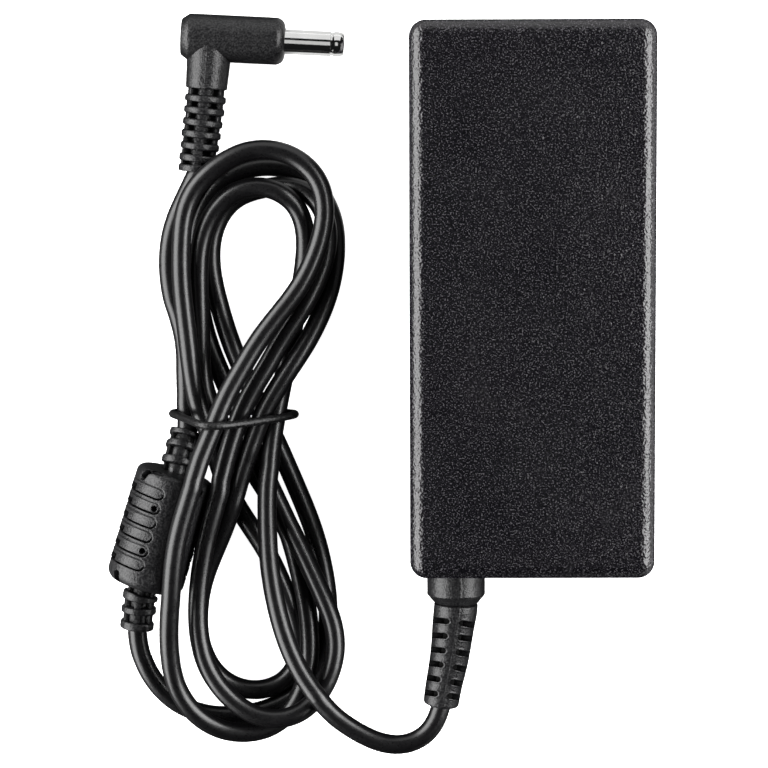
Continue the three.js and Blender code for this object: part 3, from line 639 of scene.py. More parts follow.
def mains_inlet():
    body = rounded_rect(11.2, 7.9, 1.4, steps=8, centre=(0, MID_Z))
    inlet = prism_y(body, 38.5, 53.7, "ac_inlet_moulding")
    # three round lobes joined in the middle, each with a pin hole through its floor
    for place in PIN_AT.values():
        boolean(inlet, prism_y(circle(3.4, 48, place), INLET_FLOOR_Y, 56))
        boolean(inlet, prism_y(circle(1.45, 24, place), 37, 43))
    middle = rounded_rect(4.6, 3.4, 0.5, steps=8, centre=(0, 15.4))
    boolean(inlet, prism_y(middle, INLET_FLOOR_Y, 56))
    bevel = inlet.modifiers.new("bevel", "BEVEL")
    bevel.width = 0.28 * MM
    bevel.segments = 3
    bevel.limit_method = "ANGLE"
    bevel.angle_limit = math.radians(50)
    apply_modifiers(inlet)
    smooth(inlet, 35)
    dress(inlet, "socket_plastic", "brick", "ac_inlet_body")
    for kind, (x, z) in PIN_AT.items():
        part = "inlet_pin_" + kind
        pin = lathe(part + "_contact", PIN_PROFILE, (x, PIN_START_Y, z), (0, 1, 0), 36)
        dress(pin, "pin_metal", "brick", part)


mains_inlet()

# ------------------------------------------------------------------ cord boot
BOOT_CENTRES = [[BOOT_X, -50.9, 15], [BOOT_X, -54.3, 15], [BOOT_X, -57.0, 15],
                [BOOT_X, -60.0, 15], [-14.74, -61.6, 14.97], [-15.15, -64.96, 14.6],
                [-15.57, -68.67, 14.2], [-16.31, -73.89, 13.4], [-17.13, -78.06, 12.9],
                [-17.75, -82.0, 12.5]]
NECK = 3.25                  # length of the neck and inner flange before the collar
# collar and taper: distance past NECK - 0.15, radius
BOOT_TAPER = [(5.1, 5.76), (5.3, 5.66), (6.75, 4.46), (6.95, 4.06), (7.2, 4.36), (9.0, 4.35),
              (10.9, 4.27), (14.6, 4.06), (19.9, 3.86), (24.1, 3.68)]
WINDOWS_AT = [14.28, 17.26, 20.34, 23.44, 26.54, 29.58]   # distance along the boot
WINDOW_LEAN = 0.20           # shift towards the case (+y) per unit of height
WINDOW_START = {1: 0.86, -1: 1.02}   # distance from the boot's midline, on the two sides
WINDOW_HALF = 0.60           # half width, and radius of the rounded inner end
WINDOW_DEPTHS = [(0.35, 6.0), (-6.0, -0.35)]   # above and below the midline


def boot_stations(length):
    """Distances along the boot, closest together where the shape turns quickly."""
    return np.unique(np.concatenate([
        np.linspace(0, NECK + 0.3, 60), np.arange(NECK + 0.3, NECK + 4.9, 0.25),
        np.arange(NECK + 4.9, NECK + 7.6, 0.08), np.arange(NECK + 7.6, length - 0.9, 0.1),
        np.arange(length - 0.9, length, 0.06), [length]]))


def boot_radius(s, length):
    profile = [(0.0, 4.7), (0.1, 4.9), (0.72, 4.9), (0.80, 3.35), (NECK - 0.02, 3.35),
               (NECK + 0.02, 5.45), (NECK + 0.12, 5.65), (NECK + 0.4, 5.74)]
    profile += [(NECK - 0.15 + ahead, radius) for ahead, radius in BOOT_TAPER]
    profile += [(length - 0.45, 3.58), (length - 0.12, 3.44), (length, 3.17)]
    return np.interp(s, *zip(*profile))


def window_cutters(origin, side, ahead):
    """The windows at one station: both sides, above and below the midline."""
    lean = np.array([0, WINDOW_LEAN, 1.0])
    cutters = []
    for sign, start in WINDOW_START.items():
        outline = [(sign * 6.0, WINDOW_HALF), (sign * 6.0, -WINDOW_HALF)]
        for k in range(13):
            t = math.radians(-90 - 180 * k / 12)
            outline.append((sign * (start + WINDOW_HALF + WINDOW_HALF * math.cos(t)),
                            WINDOW_HALF * math.sin(t)))
        for depths in WINDOW_DEPTHS:
            cutters.append(prism(*[[origin + p * side + q * ahead + depth * lean
                                    for p, q in outline] for depth in depths]))
    return cutters


def cord_boot():
    curve = Curve(BOOT_CENTRES)
    length = curve.length
    s = boot_stations(length)
    centres = curve(s)
    along, side, up = frames_upright(centres)
    angles = around(176)
    base = boot_radius(s, length)[:, None]
    radius = np.repeat(base, len(angles), axis=1)
    # raised parting line along top and bottom
    fade = smoothstep(s, NECK + 0.3, NECK + 0.8) * (1 - smoothstep(s, length - 0.7, length - 0.3))
    for middle in (np.pi / 2 + 0.13, 3 * np.pi / 2 + 0.13):
        radius += 0.095 * bell((angles - middle)[None, :] * base, 0.20) * fade[:, None]
    # raised lip round each window
    nearest = [int(np.argmin(np.abs(s - place))) for place in WINDOWS_AT]
    across = np.abs(np.cos(angles))[None, :] * base
    start = np.where(np.cos(angles) > 0, WINDOW_START[1], WINDOW_START[-1])[None, :]
    inward = np.clip(start + WINDOW_HALF - across, 0, None)
    surface = ring_points(radius, centres, side, up)
    for i in nearest:
        ahead = level(along[i])
        offset = surface - centres[i]
        lengthwise = offset @ ahead - offset[..., 2] * WINDOW_LEAN * ahead[1]
        outside = np.hypot(inward, lengthwise) - WINDOW_HALF
        radius += 0.075 * bell(outside - 0.13, 0.11) * (across < base * 0.93)
    boot = tube("cord_boot_moulding", radius, centres, (along, side, up))
    cutters = []
    for i in nearest:
        cutters += window_cutters(centres[i], side[i], level(along[i]))
    boolean(boot, join(cutters))
    boolean(boot, bore_tool(2.06, centres[-1], along[-1], start=-0.5, count=48))
    smooth(boot, 38)
    dress(boot, "moulded_pvc", "brick", "cord_boot")


cord_boot()

# ------------------------------------------------------------------ cord
# centre line of the cord from the boot's tip to the plug: x,y,z
CORD_PATH = points("""
-17.62,-82.01,12.5 -18.05,-83.44,12.54 -18.57,-84.85,12.57
-19.26,-86.18,12.6 -20.15,-87.39,12.62 -21.25,-88.42,12.65
-22.51,-89.23,12.68 -23.89,-89.8,12.71 -25.36,-90.12,12.74
-26.86,-90.2,12.77 -28.35,-90.05,12.8 -29.81,-89.71,12.83
-31.23,-89.21,12.87 -32.59,-88.59,12.9 -33.92,-87.89,12.94
-35.21,-87.12,12.97 -36.46,-86.3,13.02 -37.68,-85.42,13.06
-38.84,-84.47,13.1 -39.92,-83.43,13.15 -40.93,-82.33,13.18
-41.85,-81.15,13.32 -42.75,-79.95,13.34 -43.65,-78.77,13.1
-44.49,-77.54,12.93 -45.3,-76.28,12.79 -46.05,-74.99,12.65
-46.74,-73.67,12.51 -47.38,-72.32,12.37 -47.97,-70.95,12.24
-48.51,-69.55,12.11 -49.01,-68.14,11.98 -49.46,-66.72,11.85
-49.88,-65.28,11.73 -50.26,-63.83,11.61 -50.6,-62.38,11.49
-50.91,-60.92,11.37 -51.2,-59.45,11.26 -51.45,-57.97,11.14
-51.67,-56.49,11.03 -51.87,-55.01,10.93 -52.03,-53.52,10.82
-52.16,-52.03,10.72 -52.25,-50.53,10.62 -52.32,-49.04,10.52
-52.37,-47.54,10.42 -52.4,-46.05,10.33 -52.43,-44.55,10.23
-52.44,-43.05,10.14 -52.44,-41.55,10.04 -52.41,-40.05,9.98
-52.34,-38.56,9.9 -52.21,-37.07,9.73 -52.04,-35.6,9.48
-51.85,-34.16,9.11 -51.78,-32.7,8.7 -51.62,-31.25,8.33
-51.45,-29.8,7.95 -51.27,-28.36,7.57 -51.05,-26.91,7.21
-50.81,-25.48,6.81 -50.58,-24.07,6.35 -50.32,-22.64,5.96
-50.04,-21.2,5.63 -49.75,-19.75,5.35 -49.46,-18.3,5.1
-49.18,-16.84,4.89 -48.9,-15.37,4.74 -48.62,-13.89,4.62
-48.35,-12.41,4.55 -48.07,-10.93,4.54 -47.77,-9.45,4.58
-47.45,-7.98,4.68 -47.13,-6.51,4.78 -46.82,-5.04,4.87
-46.52,-3.56,4.97 -46.23,-2.08,5.05 -45.95,-0.6,5.17
-45.68,0.87,5.34 -45.42,2.34,5.56 -45.17,3.82,5.77
-44.95,5.3,5.97 -44.77,6.78,6.18 -44.63,8.27,6.4
-44.56,9.75,6.62 -44.57,11.24,6.84 -44.7,12.72,7.06
-44.96,14.18,7.29 -45.39,15.6,7.53 -46.02,16.94,7.77
-46.85,18.16,8.01 -47.88,19.2,8.28 -49.08,20.06,8.53
-50.4,20.74,8.62 -51.83,21.19,8.63 -53.3,21.41,8.57
-54.8,21.4,8.49 -56.27,21.17,8.4 -57.69,20.72,8.3
-59.03,20.05,8.21 -60.26,19.2,8.12 -61.36,18.18,8.03
-62.33,17.04,7.94 -63.17,15.8,7.85 -63.88,14.47,7.76
-64.47,13.09,7.67 -64.94,11.66,7.59 -65.3,10.2,7.51
-65.56,8.72,7.43 -65.73,7.22,7.34 -65.83,5.72,7.23
-65.89,4.22,7.12 -65.91,2.71,7.02 -65.9,1.21,6.91
-65.89,-0.29,6.81 -65.86,-1.8,6.71 -65.82,-3.3,6.61
-65.79,-4.8,6.51 -65.76,-6.31,6.41 -65.74,-7.81,6.3
-65.72,-9.31,6.21 -65.71,-10.81,6.12 -65.7,-12.31,5.99
-65.65,-13.81,5.83 -65.56,-15.3,5.65 -65.41,-16.78,5.45
-65.18,-18.25,5.22 -64.86,-19.69,4.96 -64.43,-21.1,4.7
-63.91,-22.48,4.44 -63.33,-23.83,4.18 -62.65,-25.14,3.93
-61.93,-26.43,3.66 -61.17,-27.68,3.33 -60.38,-28.92,3.02
-59.58,-30.16,2.75 -58.76,-31.4,2.52 -57.96,-32.65,2.31
-57.12,-33.89,2.21 -56.3,-35.14,2.13 -55.5,-36.41,2.04
-54.71,-37.68,2.0 -53.91,-38.95,2.02 -53.11,-40.22,2.12
-52.33,-41.5,2.23 -51.58,-42.79,2.34 -50.85,-44.09,2.45
-50.15,-45.41,2.58 -49.48,-46.75,2.71 -48.87,-48.12,2.85
-48.31,-49.5,3.0 -47.87,-50.92,3.17 -47.44,-52.35,3.35
-47.05,-53.79,3.54 -46.68,-55.24,3.74 -46.31,-56.68,3.95
-45.96,-58.13,4.16 -45.62,-59.58,4.37 -45.31,-61.03,4.58
-45.02,-62.5,4.79 -44.77,-63.96,5.01 -44.56,-65.44,5.22
-44.4,-66.92,5.41 -44.3,-68.41,5.56 -44.23,-69.9,5.72
-44.22,-71.39,5.87 -44.28,-72.88,5.98 -44.42,-74.37,6.06
-44.64,-75.85,6.13 -44.94,-77.31,6.21 -45.34,-78.75,6.28
-45.83,-80.16,6.38 -46.43,-81.53,6.46 -47.13,-82.85,6.51
-47.93,-84.11,6.58 -48.86,-85.29,6.64 -49.92,-86.33,6.81
-51.13,-87.17,7.1 -52.44,-87.83,7.36 -53.84,-88.32,7.6
-55.29,-88.62,7.85 -56.76,-88.76,8.1 -58.24,-88.74,8.36
-59.7,-88.55,8.61 -61.14,-88.21,8.87 -62.53,-87.71,9.13
-63.86,-87.05,9.39 -65.11,-86.26,9.65 -66.27,-85.34,9.91
-67.33,-84.31,10.18 -68.29,-83.18,10.45 -69.14,-81.97,10.72
-69.87,-80.69,11.01 -70.49,-79.36,11.32 -70.98,-77.98,11.65
-71.36,-76.57,11.99 -71.63,-75.13,12.34 -71.83,-73.68,12.69
-71.94,-72.22,13.04 -72.03,-70.77,13.38 -72.06,-69.3,13.72
-72.05,-67.84,14.05 -72.0,-66.38,14.38 -71.92,-64.91,14.7
-71.81,-63.45,15.01 -71.68,-61.98,15.31 -71.51,-60.53,15.65
-71.38,-59.06,15.9 -71.25,-57.58,16.13 -71.12,-56.1,16.33
-70.97,-54.62,16.52 -70.81,-53.13,16.67 -70.6,-51.65,16.8
-70.36,-50.18,16.9 -70.08,-48.7,16.98 -69.76,-47.24,17.03
-69.4,-45.78,17.07 -69.0,-44.34,17.08 -68.58,-42.9,17.09
-68.13,-41.47,17.09 -67.68,-40.03,17.08 -67.23,-38.6,17.07
-66.78,-37.17,17.05 -66.44,-35.74,16.74 -66.0,-34.31,16.58
-65.55,-32.9,16.4 -65.05,-31.5,16.22 -64.5,-30.11,16.04
-63.93,-28.73,15.86 -63.34,-27.36,15.68 -62.77,-25.99,15.5
-62.2,-24.61,15.32 -61.65,-23.23,15.15 -61.08,-21.86,14.98
-60.48,-20.5,14.81 -59.83,-19.16,14.65 -59.13,-17.84,14.49
-58.4,-16.54,14.33 -57.65,-15.25,14.17 -56.9,-13.97,14.02
-56.14,-12.69,13.87 -55.37,-11.41,13.72 -54.58,-10.15,13.57
-53.77,-8.9,13.43 -52.92,-7.67,13.3 -52.04,-6.47,13.16
-51.12,-5.29,13.03 -50.19,-4.13,12.9 -49.25,-2.97,12.78
-48.31,-1.81,12.66 -47.39,-0.63,12.54 -46.51,0.57,12.43
-45.67,1.81,12.32 -44.89,3.09,12.21 -44.17,4.41,12.11
-43.51,5.75,12.01 -42.91,7.13,11.91 -42.35,8.52,11.82
-41.85,9.94,11.73 -41.42,11.38,11.64 -41.05,12.84,11.56
-40.78,14.32,11.48 -40.62,15.81,11.41 -40.58,17.31,11.33
-40.69,18.81,11.26 -40.96,20.28,11.2 -41.41,21.7,11.13
-42.06,23.05,11.07 -42.89,24.29,11.01 -43.88,25.4,10.95
-45.01,26.37,10.89 -46.25,27.19,10.84 -47.58,27.86,10.79
-48.98,28.36,10.75 -50.43,28.71,10.7 -51.91,28.88,10.66
-53.4,28.88,10.62 -54.89,28.71,10.57 -56.34,28.37,10.54
-57.75,27.87,10.5 -59.11,27.24,10.46 -60.41,26.5,10.43
-61.67,25.68,10.39 -62.86,24.77,10.36 -63.99,23.79,10.33
-65.04,22.71,10.29 -65.99,21.55,10.26 -66.81,20.3,10.23
-67.49,18.96,10.19 -68.02,17.55,10.16 -68.41,16.1,10.13
-68.69,14.62,10.1 -68.88,13.13,10.07 -69.01,11.63,10.04
-69.1,10.13,10.01 -69.16,8.63,9.98 -69.19,7.13,9.95
-69.2,5.63,9.93 -69.17,4.12,9.9 -69.11,2.62,9.88
-69.02,1.12,9.85 -68.9,-0.37,9.83 -68.76,-1.87,9.81
-68.61,-3.36,9.78 -68.45,-4.86,9.76 -68.29,-6.35,9.74
-68.13,-7.84,9.71 -67.98,-9.34,9.7 -67.82,-10.83,9.68
-67.67,-12.32,9.65 -67.51,-13.81,9.57 -67.33,-15.3,9.46
-67.14,-16.78,9.32 -66.91,-18.26,9.13 -66.64,-19.72,8.95
-66.32,-21.18,8.77 -65.93,-22.62,8.59 -65.47,-24.03,8.41
-64.95,-25.43,8.23 -64.45,-26.82,8.0 -64.02,-28.22,7.67
-63.6,-29.62,7.33 -63.19,-31.03,6.99 -62.8,-32.44,6.66
-62.42,-33.85,6.32 -62.03,-35.26,5.98 -61.6,-36.66,5.65
-61.1,-38.04,5.34 -60.57,-39.4,5.02 -59.96,-40.73,4.68
-59.27,-42.05,4.49 -58.54,-43.36,4.41 -57.78,-44.65,4.29
-57.0,-45.92,4.16 -56.2,-47.19,4.04 -55.4,-48.45,3.93
-54.6,-49.72,3.82 -53.82,-50.99,3.71 -53.08,-52.29,3.6
-52.37,-53.61,3.5 -51.7,-54.95,3.4 -51.07,-56.31,3.3
-50.48,-57.68,3.21 -49.9,-59.04,3.12 -49.35,-60.42,3.04
-48.84,-61.82,2.96 -48.35,-63.22,2.88 -47.92,-64.64,2.8
-47.52,-66.07,2.73 -47.17,-67.52,2.69 -46.89,-68.98,2.67
-46.7,-70.46,2.66 -46.63,-71.95,2.68 -46.71,-73.44,2.73
-46.97,-74.91,2.82 -47.48,-76.31,2.9 -48.25,-77.59,2.98
-49.26,-78.69,3.07 -50.45,-79.58,3.16 -51.78,-80.25,3.25
-53.21,-80.69,3.34 -54.68,-80.91,3.44 -56.17,-80.9,3.54
-57.65,-80.67,3.64 -59.07,-80.24,3.74 -60.42,-79.6,3.85
-61.67,-78.78,3.96 -62.79,-77.8,4.08 -63.77,-76.68,4.2
-64.59,-75.45,4.32 -65.27,-74.13,4.44 -65.82,-72.75,4.57
-66.24,-71.35,4.7 -66.51,-69.88,4.84 -66.67,-68.4,4.98
-66.74,-66.91,5.12 -66.72,-65.41,5.27 -66.62,-63.92,5.43
-66.46,-62.44,5.59 -66.23,-60.97,5.75 -65.92,-59.51,5.93
-65.55,-58.07,6.12 -65.11,-56.65,6.32 -64.61,-55.25,6.52
-64.07,-53.87,6.74 -63.5,-52.5,6.96 -62.92,-51.13,7.18
-62.34,-49.77,7.4 -61.77,-48.4,7.62 -61.21,-47.02,7.84
-60.67,-45.64,8.05 -60.15,-44.25,8.28 -59.65,-42.85,8.54
-59.17,-41.44,8.71 -58.74,-40.01,8.73 -58.32,-38.57,8.78
-57.9,-37.13,8.86 -57.46,-35.7,8.94 -57.0,-34.27,9.01
-56.53,-32.85,9.09 -56.04,-31.43,9.22 -55.53,-30.02,9.23
-55.03,-28.61,9.21 -54.52,-27.21,9.25 -53.98,-25.81,9.28
-53.41,-24.42,9.31 -52.78,-23.06,9.32 -52.08,-21.74,9.3
-51.34,-20.44,9.28 -50.57,-19.16,9.24 -49.77,-17.89,9.19
-48.97,-16.63,9.12 -48.16,-15.38,9.01 -47.33,-14.14,8.86
-46.5,-12.9,8.67 -45.69,-11.67,8.42 -44.9,-10.43,8.12
-44.15,-9.18,7.79 -43.44,-7.9,7.45 -42.76,-6.61,7.11
-42.12,-5.3,6.78 -41.52,-3.97,6.45 -40.97,-2.61,6.14
-40.47,-1.24,5.82 -40.02,0.15,5.51 -39.64,1.56,5.21
-39.32,2.99,4.91 -39.05,4.43,4.62 -38.85,5.88,4.35
-38.71,7.34,4.1 -38.64,8.8,3.87 -38.64,10.27,3.65
-38.72,11.74,3.44 -38.91,13.2,3.24 -39.21,14.63,3.04
-39.65,16.03,2.84 -40.21,17.38,2.65 -40.89,18.68,2.46
-41.68,19.92,2.29 -42.59,21.08,2.16 -43.61,22.14,2.05
-44.74,23.1,2.02 -45.99,23.9,2.02 -47.35,24.49,2.02
-48.76,24.93,2.02 -50.22,25.22,2.02 -51.7,25.35,2.02
-53.18,25.34,2.01 -54.66,25.18,2.01 -56.11,24.88,2.01
-57.51,24.43,2.01 -58.87,23.83,2.01 -60.13,23.09,2.01
-61.33,22.23,2.01 -62.42,21.25,2.01 -63.4,20.16,2.0
-64.26,18.97,2.0 -65.0,17.71,2.0 -65.61,16.38,2.0
-66.11,15.0,2.0 -66.49,13.58,2.0 -66.77,12.14,2.0
-66.96,10.68,1.99 -67.07,9.22,2.0 -67.1,7.74,1.99
-67.08,6.27,1.99 -67.0,4.79,1.99 -66.88,3.32,1.99
-66.72,1.84,2.0 -66.54,0.37,2.0 -66.33,-1.1,2.0
-66.1,-2.57,2.0 -65.85,-4.03,2.0 -65.57,-5.49,2.0
-65.25,-6.95,2.01 -64.89,-8.39,2.01 -64.47,-9.82,2.0
-64.0,-11.24,2.0 -63.5,-12.64,2.03 -62.95,-14.01,2.17
-62.37,-15.37,2.37 -61.79,-16.71,2.62 -61.2,-18.05,2.89
-60.59,-19.37,3.15 -59.97,-20.7,3.42 -59.35,-22.01,3.69
-58.72,-23.33,3.97 -58.11,-24.65,4.26 -57.53,-25.98,4.54
-57.0,-27.35,4.79 -56.42,-28.71,4.98 -55.82,-30.08,5.12
-55.24,-31.46,5.19 -54.64,-32.83,5.36 -54.04,-34.2,5.48
-53.45,-35.58,5.55 -52.84,-36.95,5.62 -52.21,-38.3,5.75
-51.58,-39.65,5.94 -50.94,-40.99,6.12 -50.3,-42.34,6.27
-49.65,-43.69,6.42 -49.01,-45.04,6.57 -48.37,-46.38,6.71
-47.67,-47.73,6.85 -47.0,-49.08,6.97 -46.33,-50.43,7.09
-45.66,-51.78,7.2 -45.01,-53.14,7.29 -44.38,-54.51,7.38
-43.75,-55.88,7.46 -43.13,-57.26,7.56 -42.51,-58.64,7.65
-41.89,-60.02,7.74 -41.29,-61.4,7.84 -40.72,-62.8,7.94
-40.18,-64.21,8.04 -39.71,-65.64,8.14 -39.34,-67.1,8.25
-39.08,-68.59,8.36 -38.96,-70.1,8.47 -38.99,-71.61,8.58
-39.16,-73.11,8.69 -39.47,-74.59,8.81 -39.89,-76.04,8.93
-40.43,-77.45,9.04 -41.09,-78.81,9.2 -41.86,-80.11,9.23
-42.76,-81.33,9.37 -43.77,-82.39,9.76 -44.91,-83.34,10.12
-46.16,-84.13,10.46 -47.54,-84.73,10.72 -49.01,-85.15,10.78
-50.53,-85.35,10.78 -52.06,-85.35,10.7 -53.56,-85.1,10.67
-55.02,-84.64,10.64 -56.4,-83.99,10.61 -57.69,-83.2,10.58
-58.91,-82.29,10.55 -60.04,-81.28,10.53 -61.1,-80.19,10.52
-62.07,-79.04,10.5 -62.97,-77.81,10.49 -63.76,-76.53,10.48
-64.45,-75.18,10.48 -65.04,-73.77,10.48 -65.51,-72.33,10.48
-65.86,-70.83,10.49 -66.15,-69.36,10.5 -66.35,-67.87,10.51
-66.47,-66.38,10.53 -66.53,-64.88,10.55 -66.52,-63.38,10.58
-66.47,-61.88,10.61 -66.38,-60.38,10.64 -66.25,-58.88,10.68
-66.08,-57.39,10.72 -65.89,-55.91,10.77 -65.66,-54.42,10.82
-65.41,-52.95,10.88 -65.14,-51.47,10.95 -64.84,-50.0,11.02
-64.52,-48.54,11.09 -64.14,-47.09,11.18 -63.74,-45.65,11.26
-63.33,-44.21,11.32 -62.9,-42.77,11.36 -62.48,-41.33,11.38
-62.03,-39.9,11.4 -61.67,-38.44,11.35 -61.55,-36.96,11.17
-61.19,-35.5,11.08 -60.84,-34.05,10.97 -60.45,-32.6,10.87
-60.04,-31.16,10.78 -59.61,-29.73,10.69 -59.15,-28.3,10.6
-58.68,-26.88,10.52 -58.2,-25.48,10.43 -57.68,-24.09,10.36
-57.1,-22.72,10.28 -56.47,-21.38,10.22 -55.79,-20.06,10.16
-55.07,-18.77,10.1 -54.31,-17.49,10.03 -53.55,-16.23,9.93
-52.76,-14.98,9.82 -52.01,-13.71,9.71 -51.28,-12.43,9.61
-50.55,-11.15,9.52 -49.79,-9.89,9.43 -49.01,-8.64,9.34
-48.21,-7.41,9.26 -47.4,-6.18,9.19 -46.59,-4.96,9.11
-45.79,-3.72,9.05 -45.01,-2.48,9.0 -44.27,-1.22,8.9
-43.56,0.06,8.76 -42.9,1.36,8.59 -42.27,2.69,8.45
-41.71,4.04,8.31 -41.2,5.41,8.17 -40.77,6.81,8.01
-40.42,8.24,7.84 -40.19,9.69,7.65 -40.09,11.16,7.45
-40.13,12.64,7.25 -40.33,14.1,7.04 -40.71,15.52,6.84
-41.27,16.88,6.63 -42.03,18.13,6.42 -42.99,19.23,6.21
-44.13,20.13,5.97 -45.4,20.8,5.67 -46.75,21.22,5.33
-48.11,21.45,4.89 -49.51,21.46,4.55 -50.94,21.33,4.33
-52.36,21.1,4.2 -53.77,20.81,4.11 -55.17,20.44,4.04
-56.53,19.96,3.98 -57.83,19.32,3.93 -59.04,18.51,3.87
-60.11,17.52,3.82 -61.05,16.39,3.77 -61.83,15.15,3.73
-62.47,13.83,3.69 -62.97,12.44,3.65 -63.33,11.01,3.61
-63.56,9.56,3.58 -63.67,8.08,3.55 -63.67,6.61,3.53
-63.58,5.13,3.53 -63.41,3.67,3.54 -63.16,2.21,3.54
-62.87,0.76,3.54 -62.53,-0.69,3.54 -62.16,-2.12,3.54
-61.78,-3.56,3.54 -61.38,-4.99,3.55 -60.96,-6.41,3.55
-60.52,-7.83,3.55 -60.04,-9.24,3.56 -59.54,-10.64,3.57
-59.0,-12.03,3.57 -58.43,-13.41,3.58 -57.84,-14.78,3.59
-57.23,-16.14,3.6 -56.63,-17.5,3.61 -56.01,-18.86,3.62
-55.4,-20.22,3.63 -54.77,-21.58,3.64 -54.14,-22.93,3.69
-53.5,-24.28,3.69 -52.92,-25.66,3.69 -52.28,-26.97,3.37
-51.63,-28.31,3.35 -50.99,-29.66,3.34 -50.38,-31.02,3.28
-49.78,-32.39,3.24 -49.19,-33.77,3.2 -48.61,-35.15,3.16
-48.03,-36.52,3.12 -47.45,-37.9,3.09 -46.88,-39.28,3.05
-46.31,-40.66,3.02 -45.74,-42.05,2.98 -45.19,-43.43,2.95
-44.66,-44.83,2.91 -44.14,-46.23,2.88 -43.66,-47.64,2.84
-43.21,-49.06,2.81 -42.79,-50.49,2.78 -42.41,-51.92,2.75
-42.07,-53.37,2.72 -41.75,-54.81,2.69 -41.47,-56.26,2.66
-41.22,-57.72,2.63 -41.0,-59.18,2.6 -40.83,-60.64,2.57
-40.7,-62.1,2.54 -40.62,-63.57,2.52 -40.59,-65.03,2.5
-40.61,-66.49,2.47 -40.68,-67.96,2.45 -40.8,-69.41,2.43
-41.0,-70.86,2.41 -41.28,-72.3,2.39 -41.65,-73.72,2.38
-42.13,-75.11,2.36 -42.72,-76.46,2.35 -43.44,-77.75,2.34
-44.27,-78.98,2.33 -45.22,-80.13,2.32 -46.27,-81.19,2.31
-47.43,-82.14,2.37 -48.67,-82.98,2.51 -49.98,-83.7,2.69
-51.34,-84.32,2.83 -52.74,-84.85,2.98 -54.17,-85.28,3.14
-55.62,-85.62,3.3 -57.08,-85.89,3.46 -58.55,-86.07,3.62
-60.02,-86.17,3.78 -61.49,-86.19,3.94 -62.95,-86.12,4.11
-64.4,-85.94,4.27 -65.83,-85.65,4.44 -67.23,-85.24,4.61
-68.59,-84.71,4.79 -69.89,-84.05,4.96 -71.13,-83.28,5.14
-72.29,-82.4,5.32 -73.38,-81.42,5.5 -74.38,-80.35,5.68
-75.28,-79.2,5.86 -76.09,-77.99,6.05 -76.81,-76.73,6.23
-77.43,-75.41,6.42 -77.95,-74.06,6.6 -78.4,-72.71,6.79
-78.7,-71.25,6.97 -78.9,-69.78,7.16 -78.99,-68.29,7.36
-78.95,-66.8,7.54 -78.81,-65.31,7.66 -78.62,-63.83,7.74
-78.41,-62.34,7.79 -78.17,-60.87,7.84 -77.84,-59.4,7.86
-77.43,-57.96,7.86 -76.97,-56.53,7.85 -76.53,-55.09,7.84
-76.09,-53.66,7.84 -75.67,-52.22,7.85 -75.23,-50.78,7.85
-74.8,-49.35,7.85 -74.36,-47.91,7.85 -73.93,-46.48,7.85
-73.5,-45.04,7.84 -73.06,-43.6,7.84 -72.61,-42.17,7.85
-72.16,-40.74,7.88 -71.72,-39.31,7.88 -71.33,-37.86,7.83
-70.99,-36.4,7.71 -70.68,-34.95,7.5 -70.36,-33.52,7.17
-70.01,-32.13,6.74 -69.62,-30.78,6.21 -69.24,-29.45,5.63
-68.93,-28.08,5.09 -68.78,-26.65,4.66 -68.76,-25.18,4.38
-68.83,-23.69,4.21 -68.93,-22.2,4.08 -68.89,-20.7,3.96
-68.92,-19.21,3.85 -68.97,-17.72,3.72 -68.99,-16.23,3.63
-68.99,-14.73,3.61 -68.98,-13.22,3.65 -69.02,-11.73,3.7
-69.16,-10.23,3.74 -69.36,-8.74,3.77 -69.65,-7.26,3.81
-70.01,-5.79,3.85 -70.43,-4.33,3.89 -70.86,-2.88,3.93
-71.33,-1.42,3.97 -71.64,0.04,4.01 -71.88,1.52,4.04
-72.05,3.02,4.08 -72.15,4.51,4.12 -72.17,6.01,4.16
-72.13,7.51,4.2 -72.01,9.01,4.24 -71.8,10.49,4.27
-71.51,11.96,4.31 -71.12,13.41,4.35 -70.64,14.83,4.39
-70.09,16.23,4.43 -69.47,17.6,4.47 -68.83,18.95,4.51
-68.16,20.29,4.55 -67.5,21.64,4.59 -66.85,22.99,4.63
-66.21,24.35,4.7
""")
CORD_R = 1.95
CORD_STEP = 0.75             # spacing of the rings
CORD_SIDES = 22
FIRST_RING = -2              # the rings start before the path and end past it
CORD_TAIL = 1.2
# distance along the cord where one body hands over to the next
LEAD_START, COIL_START, PLUG_START = 1.6, 24.001, 1182.927


